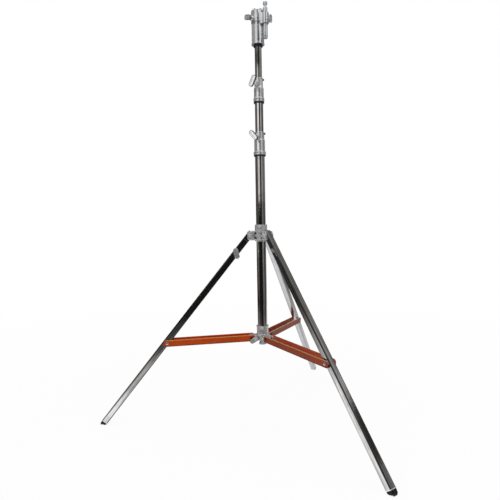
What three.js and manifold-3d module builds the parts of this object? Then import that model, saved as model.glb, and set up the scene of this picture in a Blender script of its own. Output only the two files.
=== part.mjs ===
// Combo stand: a three-legged steel stand whose column of three telescoping tubes ends in a
// socket for large lamp spigots, with a sliding small spigot beside it.
// Millimetres, +Z up, modelled about the column's axis with the floor at height 0.
import * as THREE from 'three';
import Module from 'manifold-3d';
import { mergeVertices } from 'three/addons/utils/BufferGeometryUtils.js';

const wasm = await Module();
wasm.setup();

// Clearances and fineness
const gap = 0.3;
const runningGap = 0.4;
const overrun = 1;
const fineSteps = 20;
const mediumSteps = 14;
const roundSteps = 10;
const smallSteps = 8;
const cornerSteps = 2;
const degree = Math.PI / 180;

// Column tubes
const columnDiameter = 35;
const riserOneDiameter = 30;
const riserTwoDiameter = 25;
const tubeWall = 1.2;
const columnBelowPins = 5.3;
const riserOneBottom = 412;
const riserTwoBottom = 520;
const riserOneShown = 102.3;
const riserTwoShown = 108.5;
const bushingHeight = 26;
const bushingLip = 3;

// Legs: where they hinge, where their axes meet the floor, and their square tube
const legAzimuths = { a: 180 * degree, b: 300 * degree, c: 60 * degree };
const hingeRadius = 43.5;
const hingeHeight = 685;
const footRadius = 597;
const legWidth = 22.2;
const legWall = 1.65;
const legCorner = 2.6;
const legHead = 15;
const footBlock = 22.7;
const footPastFloor = 3.3;
const hingeBoltRadius = 4;
const hingeBoltHeadRadius = 7;
const hingeBoltHeadHeight = 4.6;

// Braces: channels pinned to the sliding collar and, along each leg, to the leg
const braceInnerRadius = 42.8;
const braceInnerHeight = 307;
const bracePinAlongLeg = 495.5;
const bracePinInset = 3.6;
const braceWidth = 36;
const braceSheet = 2;
const bracePinToBack = 13;
const bracePinToEdge = 11;
const braceBendRadius = 2.6;
const braceEndReach = 13;
const braceEndCorner = 8.5;
const braceBackStart = 14;
const rivetRadius = 3;
const rivetHeadRadius = 5.6;
const rivetHeadHeight = 2.4;
const spacerRadius = 9;
const foldedLegAngle = 6.5 * degree;

// Working values of the tripod, all from the sizes above
const columnRadius = columnDiameter / 2;
const riserOneRadius = riserOneDiameter / 2;
const riserTwoRadius = riserTwoDiameter / 2;
const columnBottom = braceInnerHeight - columnBelowPins;
const legAngle = Math.atan2(footRadius - hingeRadius, hingeHeight);
const legLength = Math.hypot(footRadius - hingeRadius, hingeHeight);
const legTubeEnd = legLength - footBlock;
const capEnd = legLength + footPastFloor;
const braceOuter = legPoint(legAngle, bracePinAlongLeg, -bracePinInset);
const braceLength = Math.hypot(braceOuter.x - braceInnerRadius, braceOuter.z - braceInnerHeight);
const braceTilt = Math.atan2(braceInnerHeight - braceOuter.z, braceOuter.x - braceInnerRadius);
const foldedOuter = legPoint(foldedLegAngle, bracePinAlongLeg, -bracePinInset);
const foldedTilt = Math.acos((foldedOuter.x - braceInnerRadius) / braceLength);
const collarTravel = foldedOuter.z + braceLength * Math.sin(foldedTilt) - braceInnerHeight;

// A point beside a leg's axis: distance down from the hinge, and offset outwards across the leg
function legPoint(angle, along, across) {
  return {
    x: hingeRadius + along * Math.sin(angle) + across * Math.cos(angle),
    z: hingeHeight - along * Math.cos(angle) + across * Math.sin(angle),
  };
}

// Turning a closed geometry into a solid for joining and cutting, and back
function toSolid(geometry) {
  const bare = geometry.clone();
  bare.deleteAttribute('normal');
  bare.deleteAttribute('uv');
  const merged = mergeVertices(bare);
  const index = merged.getIndex().array;
  const triangles = [];
  for (let at = 0; at < index.length; at += 3) {
    const [first, second, third] = index.subarray(at, at + 3);
    if (first !== second && second !== third && third !== first) {
      triangles.push(first, second, third);
    }
  }
  return new wasm.Manifold(new wasm.Mesh({
    numProp: 3,
    vertProperties: new Float32Array(merged.getAttribute('position').array),
    triVerts: new Uint32Array(triangles),
  }));
}

function toGeometry(solid) {
  const mesh = solid.getMesh();
  const geometry = new THREE.BufferGeometry();
  const places = new Float32Array(mesh.vertProperties);
  geometry.setAttribute('position', new THREE.BufferAttribute(places, 3));
  geometry.setIndex(new THREE.BufferAttribute(new Uint32Array(mesh.triVerts), 1));
  geometry.computeVertexNormals();
  return geometry;
}

function joined(...geometries) {
  return toGeometry(geometries.map(toSolid).reduce((whole, piece) => whole.add(piece)));
}

function cut(geometry, ...cutters) {
  const whole = toSolid(geometry);
  return toGeometry(cutters.map(toSolid).reduce((left, piece) => left.subtract(piece), whole));
}

function common(first, second) {
  return toGeometry(toSolid(first).intersect(toSolid(second)));
}

// Placing a geometry: turns about the axes, then a shift
function turned(geometry, { x = 0, y = 0, z = 0 }) {
  return geometry.clone().rotateX(x).rotateY(y).rotateZ(z);
}

function shifted(geometry, x, y, z) {
  return geometry.clone().translate(x, y, z);
}

// A body turned about the Z axis from [radius, height] points, up its outside and down its inside
function revolve(profile, steps) {
  const points = profile.map(([radius, height]) => new THREE.Vector2(radius, height));
  const onAxis = profile[0][0] === 0 && profile[profile.length - 1][0] === 0;
  if (!onAxis) {
    points.push(points[0].clone());
  }
  return new THREE.LatheGeometry(points, steps).rotateX(Math.PI / 2);
}

function ring(innerRadius, outerRadius, bottom, top, steps) {
  return revolve([
    [outerRadius, bottom],
    [outerRadius, top],
    [innerRadius, top],
    [innerRadius, bottom],
  ], steps);
}

// A rod along X from one distance to another
function rodX(radius, from, to, steps) {
  return revolve([[0, from], [radius, from], [radius, to], [0, to]], steps).rotateY(Math.PI / 2);
}

// A rod along Y from one distance to another
function rodY(radius, from, to, steps) {
  return revolve([[0, from], [radius, from], [radius, to], [0, to]], steps).rotateX(-Math.PI / 2);
}

// A rod that points outwards from the column at an azimuth and a height
function radialRod(radius, from, to, azimuth, height, steps) {
  return shifted(turned(rodX(radius, from, to, steps), { z: azimuth }), 0, 0, height);
}

function roundedOutline(width, height, corner) {
  const halfWidth = width / 2;
  const halfHeight = height / 2;
  const shape = new THREE.Shape();
  shape.moveTo(halfWidth, -halfHeight + corner);
  shape.lineTo(halfWidth, halfHeight - corner);
  shape.absarc(halfWidth - corner, halfHeight - corner, corner, 0, Math.PI / 2, false);
  shape.lineTo(-halfWidth + corner, halfHeight);
  shape.absarc(-halfWidth + corner, halfHeight - corner, corner, Math.PI / 2, Math.PI, false);
  shape.lineTo(-halfWidth, -halfHeight + corner);
  shape.absarc(-halfWidth + corner, -halfHeight + corner, corner, Math.PI, 1.5 * Math.PI, false);
  shape.lineTo(halfWidth - corner, -halfHeight);
  shape.absarc(halfWidth - corner, -halfHeight + corner, corner, 1.5 * Math.PI, 2 * Math.PI, false);
  return shape;
}

function extruded(shape, depth, curveSegments) {
  return new THREE.ExtrudeGeometry(shape, { depth, bevelEnabled: false, curveSegments });
}

// An outline in the plane of X and Z, given a thickness along Y from one distance to another
function plateXZ(shape, from, to, curveSegments) {
  const plate = extruded(shape, to - from, curveSegments);
  return shifted(turned(plate, { x: Math.PI / 2 }), 0, to, 0);
}

function box(fromX, toX, fromY, toY, fromZ, toZ) {
  const block = new THREE.BoxGeometry(toX - fromX, toY - fromY, toZ - fromZ);
  return shifted(block, (fromX + toX) / 2, (fromY + toY) / 2, (fromZ + toZ) / 2);
}

// Finishes
const finishes = {
  chrome: { color: 0xd6d8dc, roughness: 0.12, metalness: 1 },
  casting: { color: 0xc4c7cc, roughness: 0.3, metalness: 1 },
  orangePaint: { color: 0xb4561c, roughness: 0.42, metalness: 0.1 },
  brownPaint: { color: 0x8c3e26, roughness: 0.45, metalness: 0.1 },
  rubber: { color: 0x141414, roughness: 0.85, metalness: 0 },
  blackPlastic: { color: 0x18181a, roughness: 0.5, metalness: 0 },
  nylon: { color: 0xe6e4dc, roughness: 0.6, metalness: 0 },
  blackSteel: { color: 0x2b2b2e, roughness: 0.4, metalness: 0.8 },
  brass: { color: 0xb8954a, roughness: 0.35, metalness: 1 },
};

const group = new THREE.Group();

function add(parent, name, geometry, finish) {
  const mesh = new THREE.Mesh(geometry, new THREE.MeshStandardMaterial(finishes[finish]));
  mesh.name = name;
  parent.add(mesh);
  return mesh;
}

// T-handles: a cast oval bar, dished on its outer face, on a hub and a clamping screw.
// The screw runs along X from its tip, and the bar stands across it.
const screwRadius = 4;
const hubRadius = 6.4;
const hubWaist = 4.8;
const handleEdge = 1.4;
const handleRim = 2.6;
const dishDepth = 1.1;
const largeBar = { length: 41, width: 17, thickness: 8 };
const legBar = { length: 40, width: 18, thickness: 8 };
const smallBar = { length: 28, width: 15, thickness: 7.5 };

function handle(bar, tip, hubStart, reach, tilt) {
  const flatWidth = bar.width - 2 * handleEdge;
  const flatLength = bar.length - 2 * handleEdge;
  const outline = roundedOutline(flatWidth, flatLength, flatWidth / 2);
  const oval = new THREE.ExtrudeGeometry(outline, {
    depth: bar.thickness - 2 * handleEdge,
    bevelThickness: handleEdge,
    bevelSize: handleEdge,
    bevelSegments: 1,
    curveSegments: 3,
  });
  const inner = bar.thickness / 2;
  const blade = shifted(turned(oval, { y: Math.PI / 2 }), reach - inner + handleEdge, 0, 0);
  const dishWidth = bar.width - 2 * handleRim;
  const dishOutline = roundedOutline(dishWidth, bar.length - 2 * handleRim, dishWidth / 2);
  const dishBody = turned(extruded(dishOutline, dishDepth + overrun, 3), { y: Math.PI / 2 });
  const dish = shifted(dishBody, reach + inner - dishDepth, 0, 0);
  const hub = revolve([
    [0, hubStart],
    [hubRadius, hubStart],
    [hubWaist, (hubStart + reach) / 2],
    [hubRadius, reach],
    [0, reach],
  ], smallSteps).rotateY(Math.PI / 2);
  const screw = rodX(screwRadius, tip, hubStart + overrun, smallSteps);
  return turned(cut(joined(blade, hub, screw), dish), { x: tilt });
}

// Small slotted or socket screws that show as dark dots: one shank with a low head, along X
function socketScrew(radius, headRadius, from, seat, to) {
  return revolve([
    [0, from],
    [radius, from],
    [radius, seat],
    [headRadius, seat],
    [headRadius, to],
    [0, to],
  ], smallSteps).rotateY(Math.PI / 2);
}

// Column: the base tube, and the turned plug that closes its lower end
const plugSpigotHeight = 12;
const plugFlangeHeight = 4.5;
const plugNeckRadius = 8.2;
const plugFootRadius = 14.3;
const plugConeHeight = 15;
const plugFootHeight = 2.5;

// Clamp collars that join the tubes. Heights are above the lower edge of each collar's rim.
const collarTwo = {
  bottom: 976,
  tubeRadius: columnRadius,
  riserRadius: riserOneRadius,
  wall: 1.6,
  rimStep: 3,
  rimHeight: 11,
  bodyTop: 52.5,
  neckTop: 81.5,
  neckWall: 2,
  shoulder: 5,
  ringHeight: 5,
  handleAboveSeat: 16.5,
  handleTilt: 40 * degree,
  guideHeight: 76,
};
const collarOneRing = 5.7;
const collarOne = {
  bottom: collarTwo.bottom + collarTwo.neckTop + riserOneShown + collarOneRing,
  tubeRadius: riserOneRadius,
  riserRadius: riserTwoRadius,
  wall: 2.3,
  rimStep: 2,
  rimHeight: 12,
  bodyTop: 48,
  neckTop: 83,
  neckWall: 2.4,
  shoulder: 5,
  ringHeight: collarOneRing,
  handleAboveSeat: 19,
  handleTilt: -26 * degree,
  guideHeight: 77.5,
};
const collarHandleAzimuth = 240 * degree;
const collarHandleRadius = 50;
const collarBossRadius = 8.2;
const collarBossReach = 28;
const padRadius = 5.4;
const padThickness = 3.4;
const rimScrewAzimuth = 247 * degree;
const guideAzimuth = -4 * degree;
const rimScrewRadius = 1.7;
const rimScrewHead = 2.1;
const rimScrewProud = 0.5;
const guideScrewRadius = 2.2;
const guideScrewHead = 3.6;
const guideScrewProud = 4.2;
const chamfer = 1.2;

function clampCollar(spec) {
  const bore = spec.tubeRadius + gap;
  const neckBore = spec.riserRadius + gap;
  const bodyRadius = bore + spec.wall;
  const rimRadius = bodyRadius + spec.rimStep;
  const neckRadius = neckBore + spec.neckWall;
  const seat = spec.bodyTop - spec.shoulder;
  const handleHeight = seat + spec.handleAboveSeat;
  const shell = revolve([
    [rimRadius - chamfer, 0],
    [rimRadius, chamfer],
    [rimRadius, spec.rimHeight - chamfer],
    [rimRadius - chamfer, spec.rimHeight],
    [bodyRadius, spec.rimHeight],
    [bodyRadius, spec.bodyTop - 2 * chamfer],
    [bodyRadius - chamfer, spec.bodyTop],
    [neckRadius, spec.bodyTop + chamfer],
    [neckRadius, spec.neckTop - chamfer],
    [neckRadius - chamfer, spec.neckTop],
    [neckBore, spec.neckTop],
    [neckBore, seat],
    [bore, seat],
    [bore, 0],
  ], fineSteps);
  const boss = radialRod(
    collarBossRadius, neckBore + spec.neckWall / 2, collarBossReach,
    collarHandleAzimuth, handleHeight, roundSteps,
  );
  const padSeat = neckBore + padThickness + gap;
  const padPocket = radialRod(
    padRadius + gap, 0, padSeat, collarHandleAzimuth, handleHeight, roundSteps,
  );
  const screwHole = radialRod(
    screwRadius + gap, 0, collarBossReach + overrun,
    collarHandleAzimuth, handleHeight, roundSteps,
  );
  const rimHole = radialRod(
    rimScrewRadius + gap, 0, rimRadius + overrun, rimScrewAzimuth, spec.rimHeight / 2, smallSteps,
  );
  const guideHole = radialRod(
    guideScrewRadius + gap, 0, neckRadius + overrun, guideAzimuth, spec.guideHeight, smallSteps,
  );
  const casting = cut(joined(shell, boss), padPocket, screwHole, rimHole, guideHole);
  const underRing = revolve([
    [rimRadius - chamfer, -spec.ringHeight],
    [rimRadius - chamfer / 2, -spec.ringHeight / 2],
    [rimRadius - chamfer, -gap],
    [bore, -gap],
    [bore, -spec.ringHeight],
  ], fineSteps);
  const rimScrew = socketScrew(
    rimScrewRadius, rimScrewHead, bore + gap, rimRadius + gap, rimRadius + gap + rimScrewProud,
  );
  const guideScrew = socketScrew(
    guideScrewRadius, guideScrewHead, neckBore + gap, neckRadius + gap, neckRadius + guideScrewProud,
  );
  const placedRimScrew = shifted(turned(rimScrew, { z: rimScrewAzimuth }), 0, 0, spec.rimHeight / 2);
  const placedGuide = shifted(turned(guideScrew, { z: guideAzimuth }), 0, 0, spec.guideHeight);
  const pad = radialRod(
    padRadius, neckBore, neckBore + padThickness, collarHandleAzimuth, handleHeight, roundSteps,
  );
  const tee = handle(largeBar, padSeat, collarBossReach + gap, collarHandleRadius, spec.handleTilt);
  const placedTee = shifted(turned(tee, { z: collarHandleAzimuth }), 0, 0, handleHeight);
  return { casting, underRing, placedRimScrew, placedGuide, pad, placedTee, seat };
}

function addCollar(name, spec) {
  const place = new THREE.Group();
  place.position.z = spec.bottom;
  group.add(place);
  const pieces = clampCollar(spec);
  add(place, name, pieces.casting, 'casting');
  add(place, `${name}_ring`, pieces.underRing, 'rubber');
  add(place, `${name}_rim_screw`, pieces.placedRimScrew, 'blackSteel');
  add(place, `${name}_guide_screw`, pieces.placedGuide, 'blackSteel');
  add(place, `${name}_brake_pad`, pieces.pad, 'brass');
  add(place, `${name}_handle`, pieces.placedTee, 'chrome');
  return spec.bottom + pieces.seat - gap;
}

const columnTop = addCollar('collar_2', collarTwo);
const riserOneTop = addCollar('collar_1', collarOne);

function columnTube(radius, bottom, top) {
  return ring(radius - tubeWall, radius, bottom, top, fineSteps);
}

// A nylon guide that hugs the lower end of a riser and runs in the tube outside it
function riserBushing(radius, outerTubeRadius, bottom) {
  const outside = outerTubeRadius - tubeWall - gap;
  return revolve([
    [outside, bottom - gap - bushingLip],
    [outside, bottom + bushingHeight],
    [radius + gap, bottom + bushingHeight],
    [radius + gap, bottom - gap],
    [radius - tubeWall, bottom - gap],
    [radius - tubeWall, bottom - gap - bushingLip],
  ], fineSteps);
}

add(group, 'base_column', columnTube(columnRadius, columnBottom, columnTop), 'chrome');
add(group, 'riser_1', columnTube(riserOneRadius, riserOneBottom, riserOneTop), 'chrome');
add(group, 'riser_1_bushing', riserBushing(riserOneRadius, columnRadius, riserOneBottom), 'nylon');
add(group, 'riser_2_bushing', riserBushing(riserTwoRadius, riserOneRadius, riserTwoBottom), 'nylon');

const plugFlangeTop = columnBottom - gap;
const plugNeckTop = plugFlangeTop - plugFlangeHeight;
const plugFootTop = plugNeckTop - plugConeHeight;
add(group, 'column_plug', revolve([
  [0, plugFootTop - plugFootHeight],
  [plugFootRadius, plugFootTop - plugFootHeight],
  [plugFootRadius, plugFootTop],
  [plugNeckRadius, plugNeckTop],
  [columnRadius, plugNeckTop],
  [columnRadius, plugFlangeTop],
  [columnRadius - tubeWall - gap, plugFlangeTop],
  [columnRadius - tubeWall - gap, columnBottom + plugSpigotHeight - chamfer],
  [columnRadius - tubeWall - gap - chamfer, columnBottom + plugSpigotHeight],
  [0, columnBottom + plugSpigotHeight],
], fineSteps), 'casting');

// Leg casting: a ring round the base tube with a pair of ears for each leg
const castingAboveHinge = 39;
const castingBelowHinge = 22;
const castingRingHeight = 24;
const castingFootHeight = 9;
const castingRadius = 22.5;
const castingWaist = 21.3;
const earAboveHinge = 16;
const earBelowHinge = 18;
const earReach = 52.4;
const earCorner = 11;
const earThickness = 4.4;
const earSpacing = legWidth / 2 + runningGap;
const castingTop = hingeHeight + castingAboveHinge;
const castingBottom = hingeHeight - castingBelowHinge;
const earTop = hingeHeight + earAboveHinge;
const earBottom = hingeHeight - earBelowHinge;

function eachLeg(make) {
  return Object.entries(legAzimuths).map(([letter, azimuth]) => make(letter, azimuth));
}

const earOutline = new THREE.Shape();
earOutline.moveTo(columnRadius / 3, earBottom);
earOutline.lineTo(earReach - earCorner, earBottom);
earOutline.absarc(earReach - earCorner, earBottom + earCorner, earCorner, -Math.PI / 2, 0, false);
earOutline.lineTo(earReach, earTop - earCorner);
earOutline.absarc(earReach - earCorner, earTop - earCorner, earCorner, 0, Math.PI / 2, false);
earOutline.lineTo(columnRadius / 3, earTop);
const castingBody = revolve([
  [castingRadius - chamfer, castingBottom],
  [castingRadius, castingBottom + chamfer],
  [castingRadius, castingBottom + castingFootHeight - chamfer],
  [castingWaist, castingBottom + castingFootHeight],
  [castingWaist, castingTop - castingRingHeight],
  [castingRadius, castingTop - castingRingHeight + chamfer],
  [castingRadius, castingTop - chamfer],
  [castingRadius - chamfer, castingTop],
  [columnRadius + gap, castingTop],
  [columnRadius + gap, castingBottom],
], fineSteps);
const legEars = eachLeg((letter, azimuth) => {
  const near = plateXZ(earOutline, earSpacing, earSpacing + earThickness, 3);
  const far = plateXZ(earOutline, -earSpacing - earThickness, -earSpacing, 3);
  const halfWay = earSpacing + earThickness + overrun;
  const bore = shifted(
    rodY(hingeBoltRadius + gap, -halfWay, halfWay, roundSteps), hingeRadius, 0, hingeHeight,
  );
  return turned(cut(joined(near, far), bore), { z: azimuth });
});
const columnBore = ring(0, columnRadius + gap, castingBottom - overrun, castingTop + overrun, fineSteps);
add(group, 'leg_casting', cut(joined(castingBody, ...legEars), columnBore), 'casting');

// One hinge bolt a leg, through the casting's ears, with a head and a nut
function hingeBolt() {
  const seat = earSpacing + earThickness + gap;
  const bolt = rodY(hingeBoltRadius, -seat - hingeBoltHeadHeight, seat + hingeBoltHeadHeight, smallSteps);
  const head = rodY(hingeBoltHeadRadius, seat, seat + hingeBoltHeadHeight - chamfer, roundSteps);
  const nut = rodY(hingeBoltHeadRadius, -seat - hingeBoltHeadHeight + chamfer, -seat, 6);
  return shifted(joined(bolt, head, nut), hingeRadius, 0, hingeHeight);
}

eachLeg((letter, azimuth) => {
  add(group, `leg_${letter}_hinge_bolt`, turned(hingeBolt(), { z: azimuth }), 'blackSteel');
});

// Legs, built along -Z from the hinge with X pointing outwards, then leaned out
const capProud = 0.4;
const capRound = 3.4;
const capSpigot = 22;
const innerLegWall = 2.4;
const innerLegEnd = 440;
const innerLegShoulder = 22;
const lockAlongLeg = 80;
const lockBossRadius = 7.5;
const lockBossReach = 22;
const lockHandleReach = 47;

function squareBar(width, wall, from, to) {
  const outline = roundedOutline(width, width, legCorner);
  const inside = width - 2 * wall;
  outline.holes.push(roundedOutline(inside, inside, Math.max(legCorner - wall, wall / 4)));
  return shifted(extruded(outline, to - from, cornerSteps), 0, 0, from);
}

function squareBlock(width, from, to) {
  return shifted(extruded(roundedOutline(width, width, legCorner), to - from, cornerSteps), 0, 0, from);
}

function hingeBore() {
  return rodY(hingeBoltRadius + gap, -legWidth, legWidth, roundSteps);
}

// The rubber foot: a block with rounded edges and a spigot in the tube, flat where it stands on the floor
function footCap() {
  const width = legWidth + 2 * capProud;
  const shoulder = -legTubeEnd - gap;
  const outline = roundedOutline(width - 2 * capRound, width - 2 * capRound, legCorner);
  const block = new THREE.ExtrudeGeometry(outline, {
    depth: capEnd - legTubeEnd + overrun - capRound,
    bevelThickness: capRound,
    bevelSize: capRound,
    bevelSegments: 2,
    curveSegments: cornerSteps,
  });
  const placed = shifted(block, 0, 0, -capEnd + capRound);
  const aboveShoulder = box(-width, width, -width, width, shoulder, shoulder + capEnd - legTubeEnd);
  const spigotWidth = legWidth - 2 * legWall - 2 * gap;
  const spigot = squareBlock(spigotWidth, shoulder - overrun, -legTubeEnd + capSpigot);
  const reach = 2 * width;
  const underFloor = shifted(
    turned(box(-reach, reach, -reach, reach, -reach, 0), { y: legAngle }),
    -legLength * Math.sin(legAngle) * Math.cos(legAngle) + hingeHeight * Math.sin(legAngle),
    0,
    -legLength,
  );
  return cut(joined(cut(placed, aboveShoulder), spigot), underFloor);
}

function legGroup(azimuth) {
  const ringPlace = new THREE.Group();
  ringPlace.rotation.z = azimuth;
  const leaning = new THREE.Group();
  leaning.position.set(hingeRadius, 0, hingeHeight);
  leaning.rotation.y = -legAngle;
  ringPlace.add(leaning);
  group.add(ringPlace);
  return leaning;
}

['b', 'c'].forEach((letter) => {
  const leg = legGroup(legAzimuths[letter]);
  const tube = cut(squareBar(legWidth, legWall, -legTubeEnd, legHead), hingeBore());
  add(leg, `leg_${letter}`, tube, 'chrome');
  add(leg, `leg_${letter}_foot`, footCap(), 'rubber');
});

// Leg A can be let down on uneven ground: its outer tube slides on an inner bar that carries the hinge
const legAGroup = legGroup(legAzimuths.a);
const innerLegWidth = legWidth - 2 * legWall - 2 * gap;
add(legAGroup, 'leg_a_inner_bar', cut(
  joined(
    squareBlock(legWidth, -innerLegShoulder, legHead),
    squareBar(innerLegWidth, innerLegWall, -innerLegEnd, -innerLegShoulder + legWall),
  ),
  hingeBore(),
), 'chrome');
const lockHole = shifted(rodY(screwRadius + gap, 0, legWidth, roundSteps), 0, 0, -lockAlongLeg);
add(legAGroup, 'leg_a_tube', cut(
  squareBar(legWidth, legWall, -legTubeEnd, -innerLegShoulder - gap),
  lockHole,
), 'chrome');
add(legAGroup, 'leg_a_foot', footCap(), 'rubber');
const lockBossStart = legWidth / 2 + gap;
const lockBoss = shifted(
  rodY(lockBossRadius, lockBossStart, lockBossReach, roundSteps), 0, 0, -lockAlongLeg,
);
add(legAGroup, 'leg_a_lock_boss', cut(lockBoss, shifted(
  rodY(screwRadius + gap, 0, lockBossReach + overrun, roundSteps), 0, 0, -lockAlongLeg,
)), 'casting');
const lockTilt = 52 * degree;
const lockHandle = turned(
  handle(legBar, innerLegWidth / 2 + gap, lockBossReach + gap, lockHandleReach, lockTilt),
  { z: Math.PI / 2 },
);
add(legAGroup, 'leg_a_handle', shifted(lockHandle, 0, 0, -lockAlongLeg), 'chrome');

// Sliding collar on the base tube, with a pair of lugs for each brace and a clamping handle
const sliderAbovePins = 42.7;
const sliderHubAbovePins = 12.7;
const sliderBelowPins = 11.3;
const sliderRimHeight = 5;
const sliderRimRadius = 22.8;
const sliderRadius = 21.5;
const sliderHubRadius = 23;
const lugHeight = 17;
const lugThickness = 6;
const sliderHandleAzimuth = 236 * degree;
const sliderHandleAbovePins = 1.7;
const sliderHandleRadius = 60;
const sliderHandleTilt = -57 * degree;
const sliderBossRadius = 8.5;
const sliderBossReach = 33;

const sliderTop = braceInnerHeight + sliderAbovePins;
const sliderHubTop = braceInnerHeight + sliderHubAbovePins;
const sliderBottom = braceInnerHeight - sliderBelowPins;
const sliderHandleHeight = braceInnerHeight + sliderHandleAbovePins;
const braceInside = braceWidth / 2 - braceSheet;
const lugOutside = braceInside - runningGap;
const sliderBody = revolve([
  [sliderHubRadius - chamfer, sliderBottom],
  [sliderHubRadius, sliderBottom + chamfer],
  [sliderHubRadius, sliderHubTop - chamfer],
  [sliderRadius, sliderHubTop],
  [sliderRadius, sliderTop - sliderRimHeight - chamfer],
  [sliderRimRadius, sliderTop - sliderRimHeight],
  [sliderRimRadius, sliderTop - chamfer],
  [sliderRimRadius - chamfer, sliderTop],
  [columnRadius + gap, sliderTop],
  [columnRadius + gap, sliderBottom],
], fineSteps);
const lugOutline = new THREE.Shape();
lugOutline.moveTo(columnRadius / 3, braceInnerHeight - lugHeight / 2);
lugOutline.lineTo(braceInnerRadius, braceInnerHeight - lugHeight / 2);
lugOutline.absarc(braceInnerRadius, braceInnerHeight, lugHeight / 2, -Math.PI / 2, Math.PI / 2, false);
lugOutline.lineTo(columnRadius / 3, braceInnerHeight + lugHeight / 2);
const braceLugs = eachLeg((letter, azimuth) => {
  const near = plateXZ(lugOutline, lugOutside - lugThickness, lugOutside, 4);
  const far = plateXZ(lugOutline, -lugOutside, -lugOutside + lugThickness, 4);
  const bore = shifted(
    rodY(rivetRadius + gap, -braceWidth, braceWidth, smallSteps), braceInnerRadius, 0, braceInnerHeight,
  );
  return turned(cut(joined(near, far), bore), { z: azimuth });
});
const sliderBoss = radialRod(
  sliderBossRadius, sliderRadius - tubeWall, sliderBossReach,
  sliderHandleAzimuth, sliderHandleHeight, roundSteps,
);
const sliderBore = ring(0, columnRadius + gap, sliderBottom - overrun, sliderTop + overrun, fineSteps);
const sliderScrewHole = radialRod(
  screwRadius + gap, 0, sliderBossReach + overrun, sliderHandleAzimuth, sliderHandleHeight, roundSteps,
);
add(group, 'brace_collar', cut(
  joined(sliderBody, ...braceLugs, sliderBoss), sliderBore, sliderScrewHole,
), 'casting');
const sliderHandle = handle(
  largeBar, columnRadius + 2 * gap, sliderBossReach + gap, sliderHandleRadius, sliderHandleTilt,
);
add(group, 'brace_collar_handle', shifted(
  turned(sliderHandle, { z: sliderHandleAzimuth }), 0, 0, sliderHandleHeight,
), 'chrome');

// The pin of each brace at the collar, headed over outside the channel
const rivetSeat = braceWidth / 2 + gap;
const domeStep = rivetHeadHeight / 2;

function rivetHead(side) {
  const head = revolve([
    [0, rivetSeat],
    [rivetHeadRadius, rivetSeat],
    [rivetHeadRadius - domeStep / 2, rivetSeat + domeStep],
    [rivetHeadRadius / 2, rivetSeat + rivetHeadHeight],
    [0, rivetSeat + rivetHeadHeight],
  ], smallSteps);
  return turned(head, { x: -side * Math.PI / 2 });
}

eachLeg((letter, azimuth) => {
  const shank = rodY(rivetRadius, -rivetSeat - domeStep, rivetSeat + domeStep, smallSteps);
  const pin = shifted(joined(shank, rivetHead(1), rivetHead(-1)), braceInnerRadius, 0, braceInnerHeight);
  add(group, `brace_${letter}_collar_pin`, turned(pin, { z: azimuth }), 'chrome');
});

// How far the back of a channel has to stay clear of its leg, found over the whole fold. The fold
// is taken as even shares of each pivot's travel, and the leg's lower face is met with the back.
const foldSteps = 200;
const channelBack = -bracePinToBack;

function slotStart() {
  let nearest = braceLength;
  for (let step = 0; step <= foldSteps; step += 1) {
    const share = step / foldSteps;
    const lean = legAngle + (foldedLegAngle - legAngle) * share;
    const tilt = braceTilt + (foldedTilt - braceTilt) * share;
    const pivotHeight = braceInnerHeight + collarTravel * share;
    const down = legPoint(lean, bracePinAlongLeg, -legWidth / 2 - runningGap);
    const along = new THREE.Vector2(Math.cos(tilt), -Math.sin(tilt));
    const across = new THREE.Vector2(Math.sin(tilt), Math.cos(tilt));
    const toLeg = new THREE.Vector2(down.x - braceInnerRadius, down.z - pivotHeight);
    const legDown = new THREE.Vector2(Math.sin(lean), -Math.cos(lean));
    [channelBack, channelBack + braceSheet].forEach((level) => {
      const travel = (level - toLeg.dot(across)) / legDown.dot(across);
      nearest = Math.min(nearest, toLeg.dot(along) + travel * legDown.dot(along));
    });
  }
  return nearest - runningGap;
}

const slotFrom = slotStart();
const slotHalfWidth = legWidth / 2 + runningGap;
const slotCorner = legCorner;

// Brace: a folded channel, open upwards, from its pin at the collar along X to its pin at the leg
function channelSection() {
  const half = braceWidth / 2;
  const inside = half - braceSheet;
  const outerBend = braceBendRadius;
  const innerBend = braceBendRadius - braceSheet;
  const bendHeight = channelBack + braceSheet + innerBend;
  const shape = new THREE.Shape();
  shape.moveTo(half, bracePinToEdge);
  shape.lineTo(inside, bracePinToEdge);
  shape.lineTo(inside, bendHeight);
  shape.absarc(inside - innerBend, bendHeight, innerBend, 0, -Math.PI / 2, true);
  shape.lineTo(-inside + innerBend, channelBack + braceSheet);
  shape.absarc(-inside + innerBend, bendHeight, innerBend, -Math.PI / 2, -Math.PI, true);
  shape.lineTo(-inside, bracePinToEdge);
  shape.lineTo(-half, bracePinToEdge);
  shape.lineTo(-half, channelBack + outerBend);
  shape.absarc(-half + outerBend, channelBack + outerBend, outerBend, Math.PI, 1.5 * Math.PI, false);
  shape.lineTo(half - outerBend, channelBack);
  shape.absarc(half - outerBend, channelBack + outerBend, outerBend, 1.5 * Math.PI, 2 * Math.PI, false);
  return shape;
}

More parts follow.
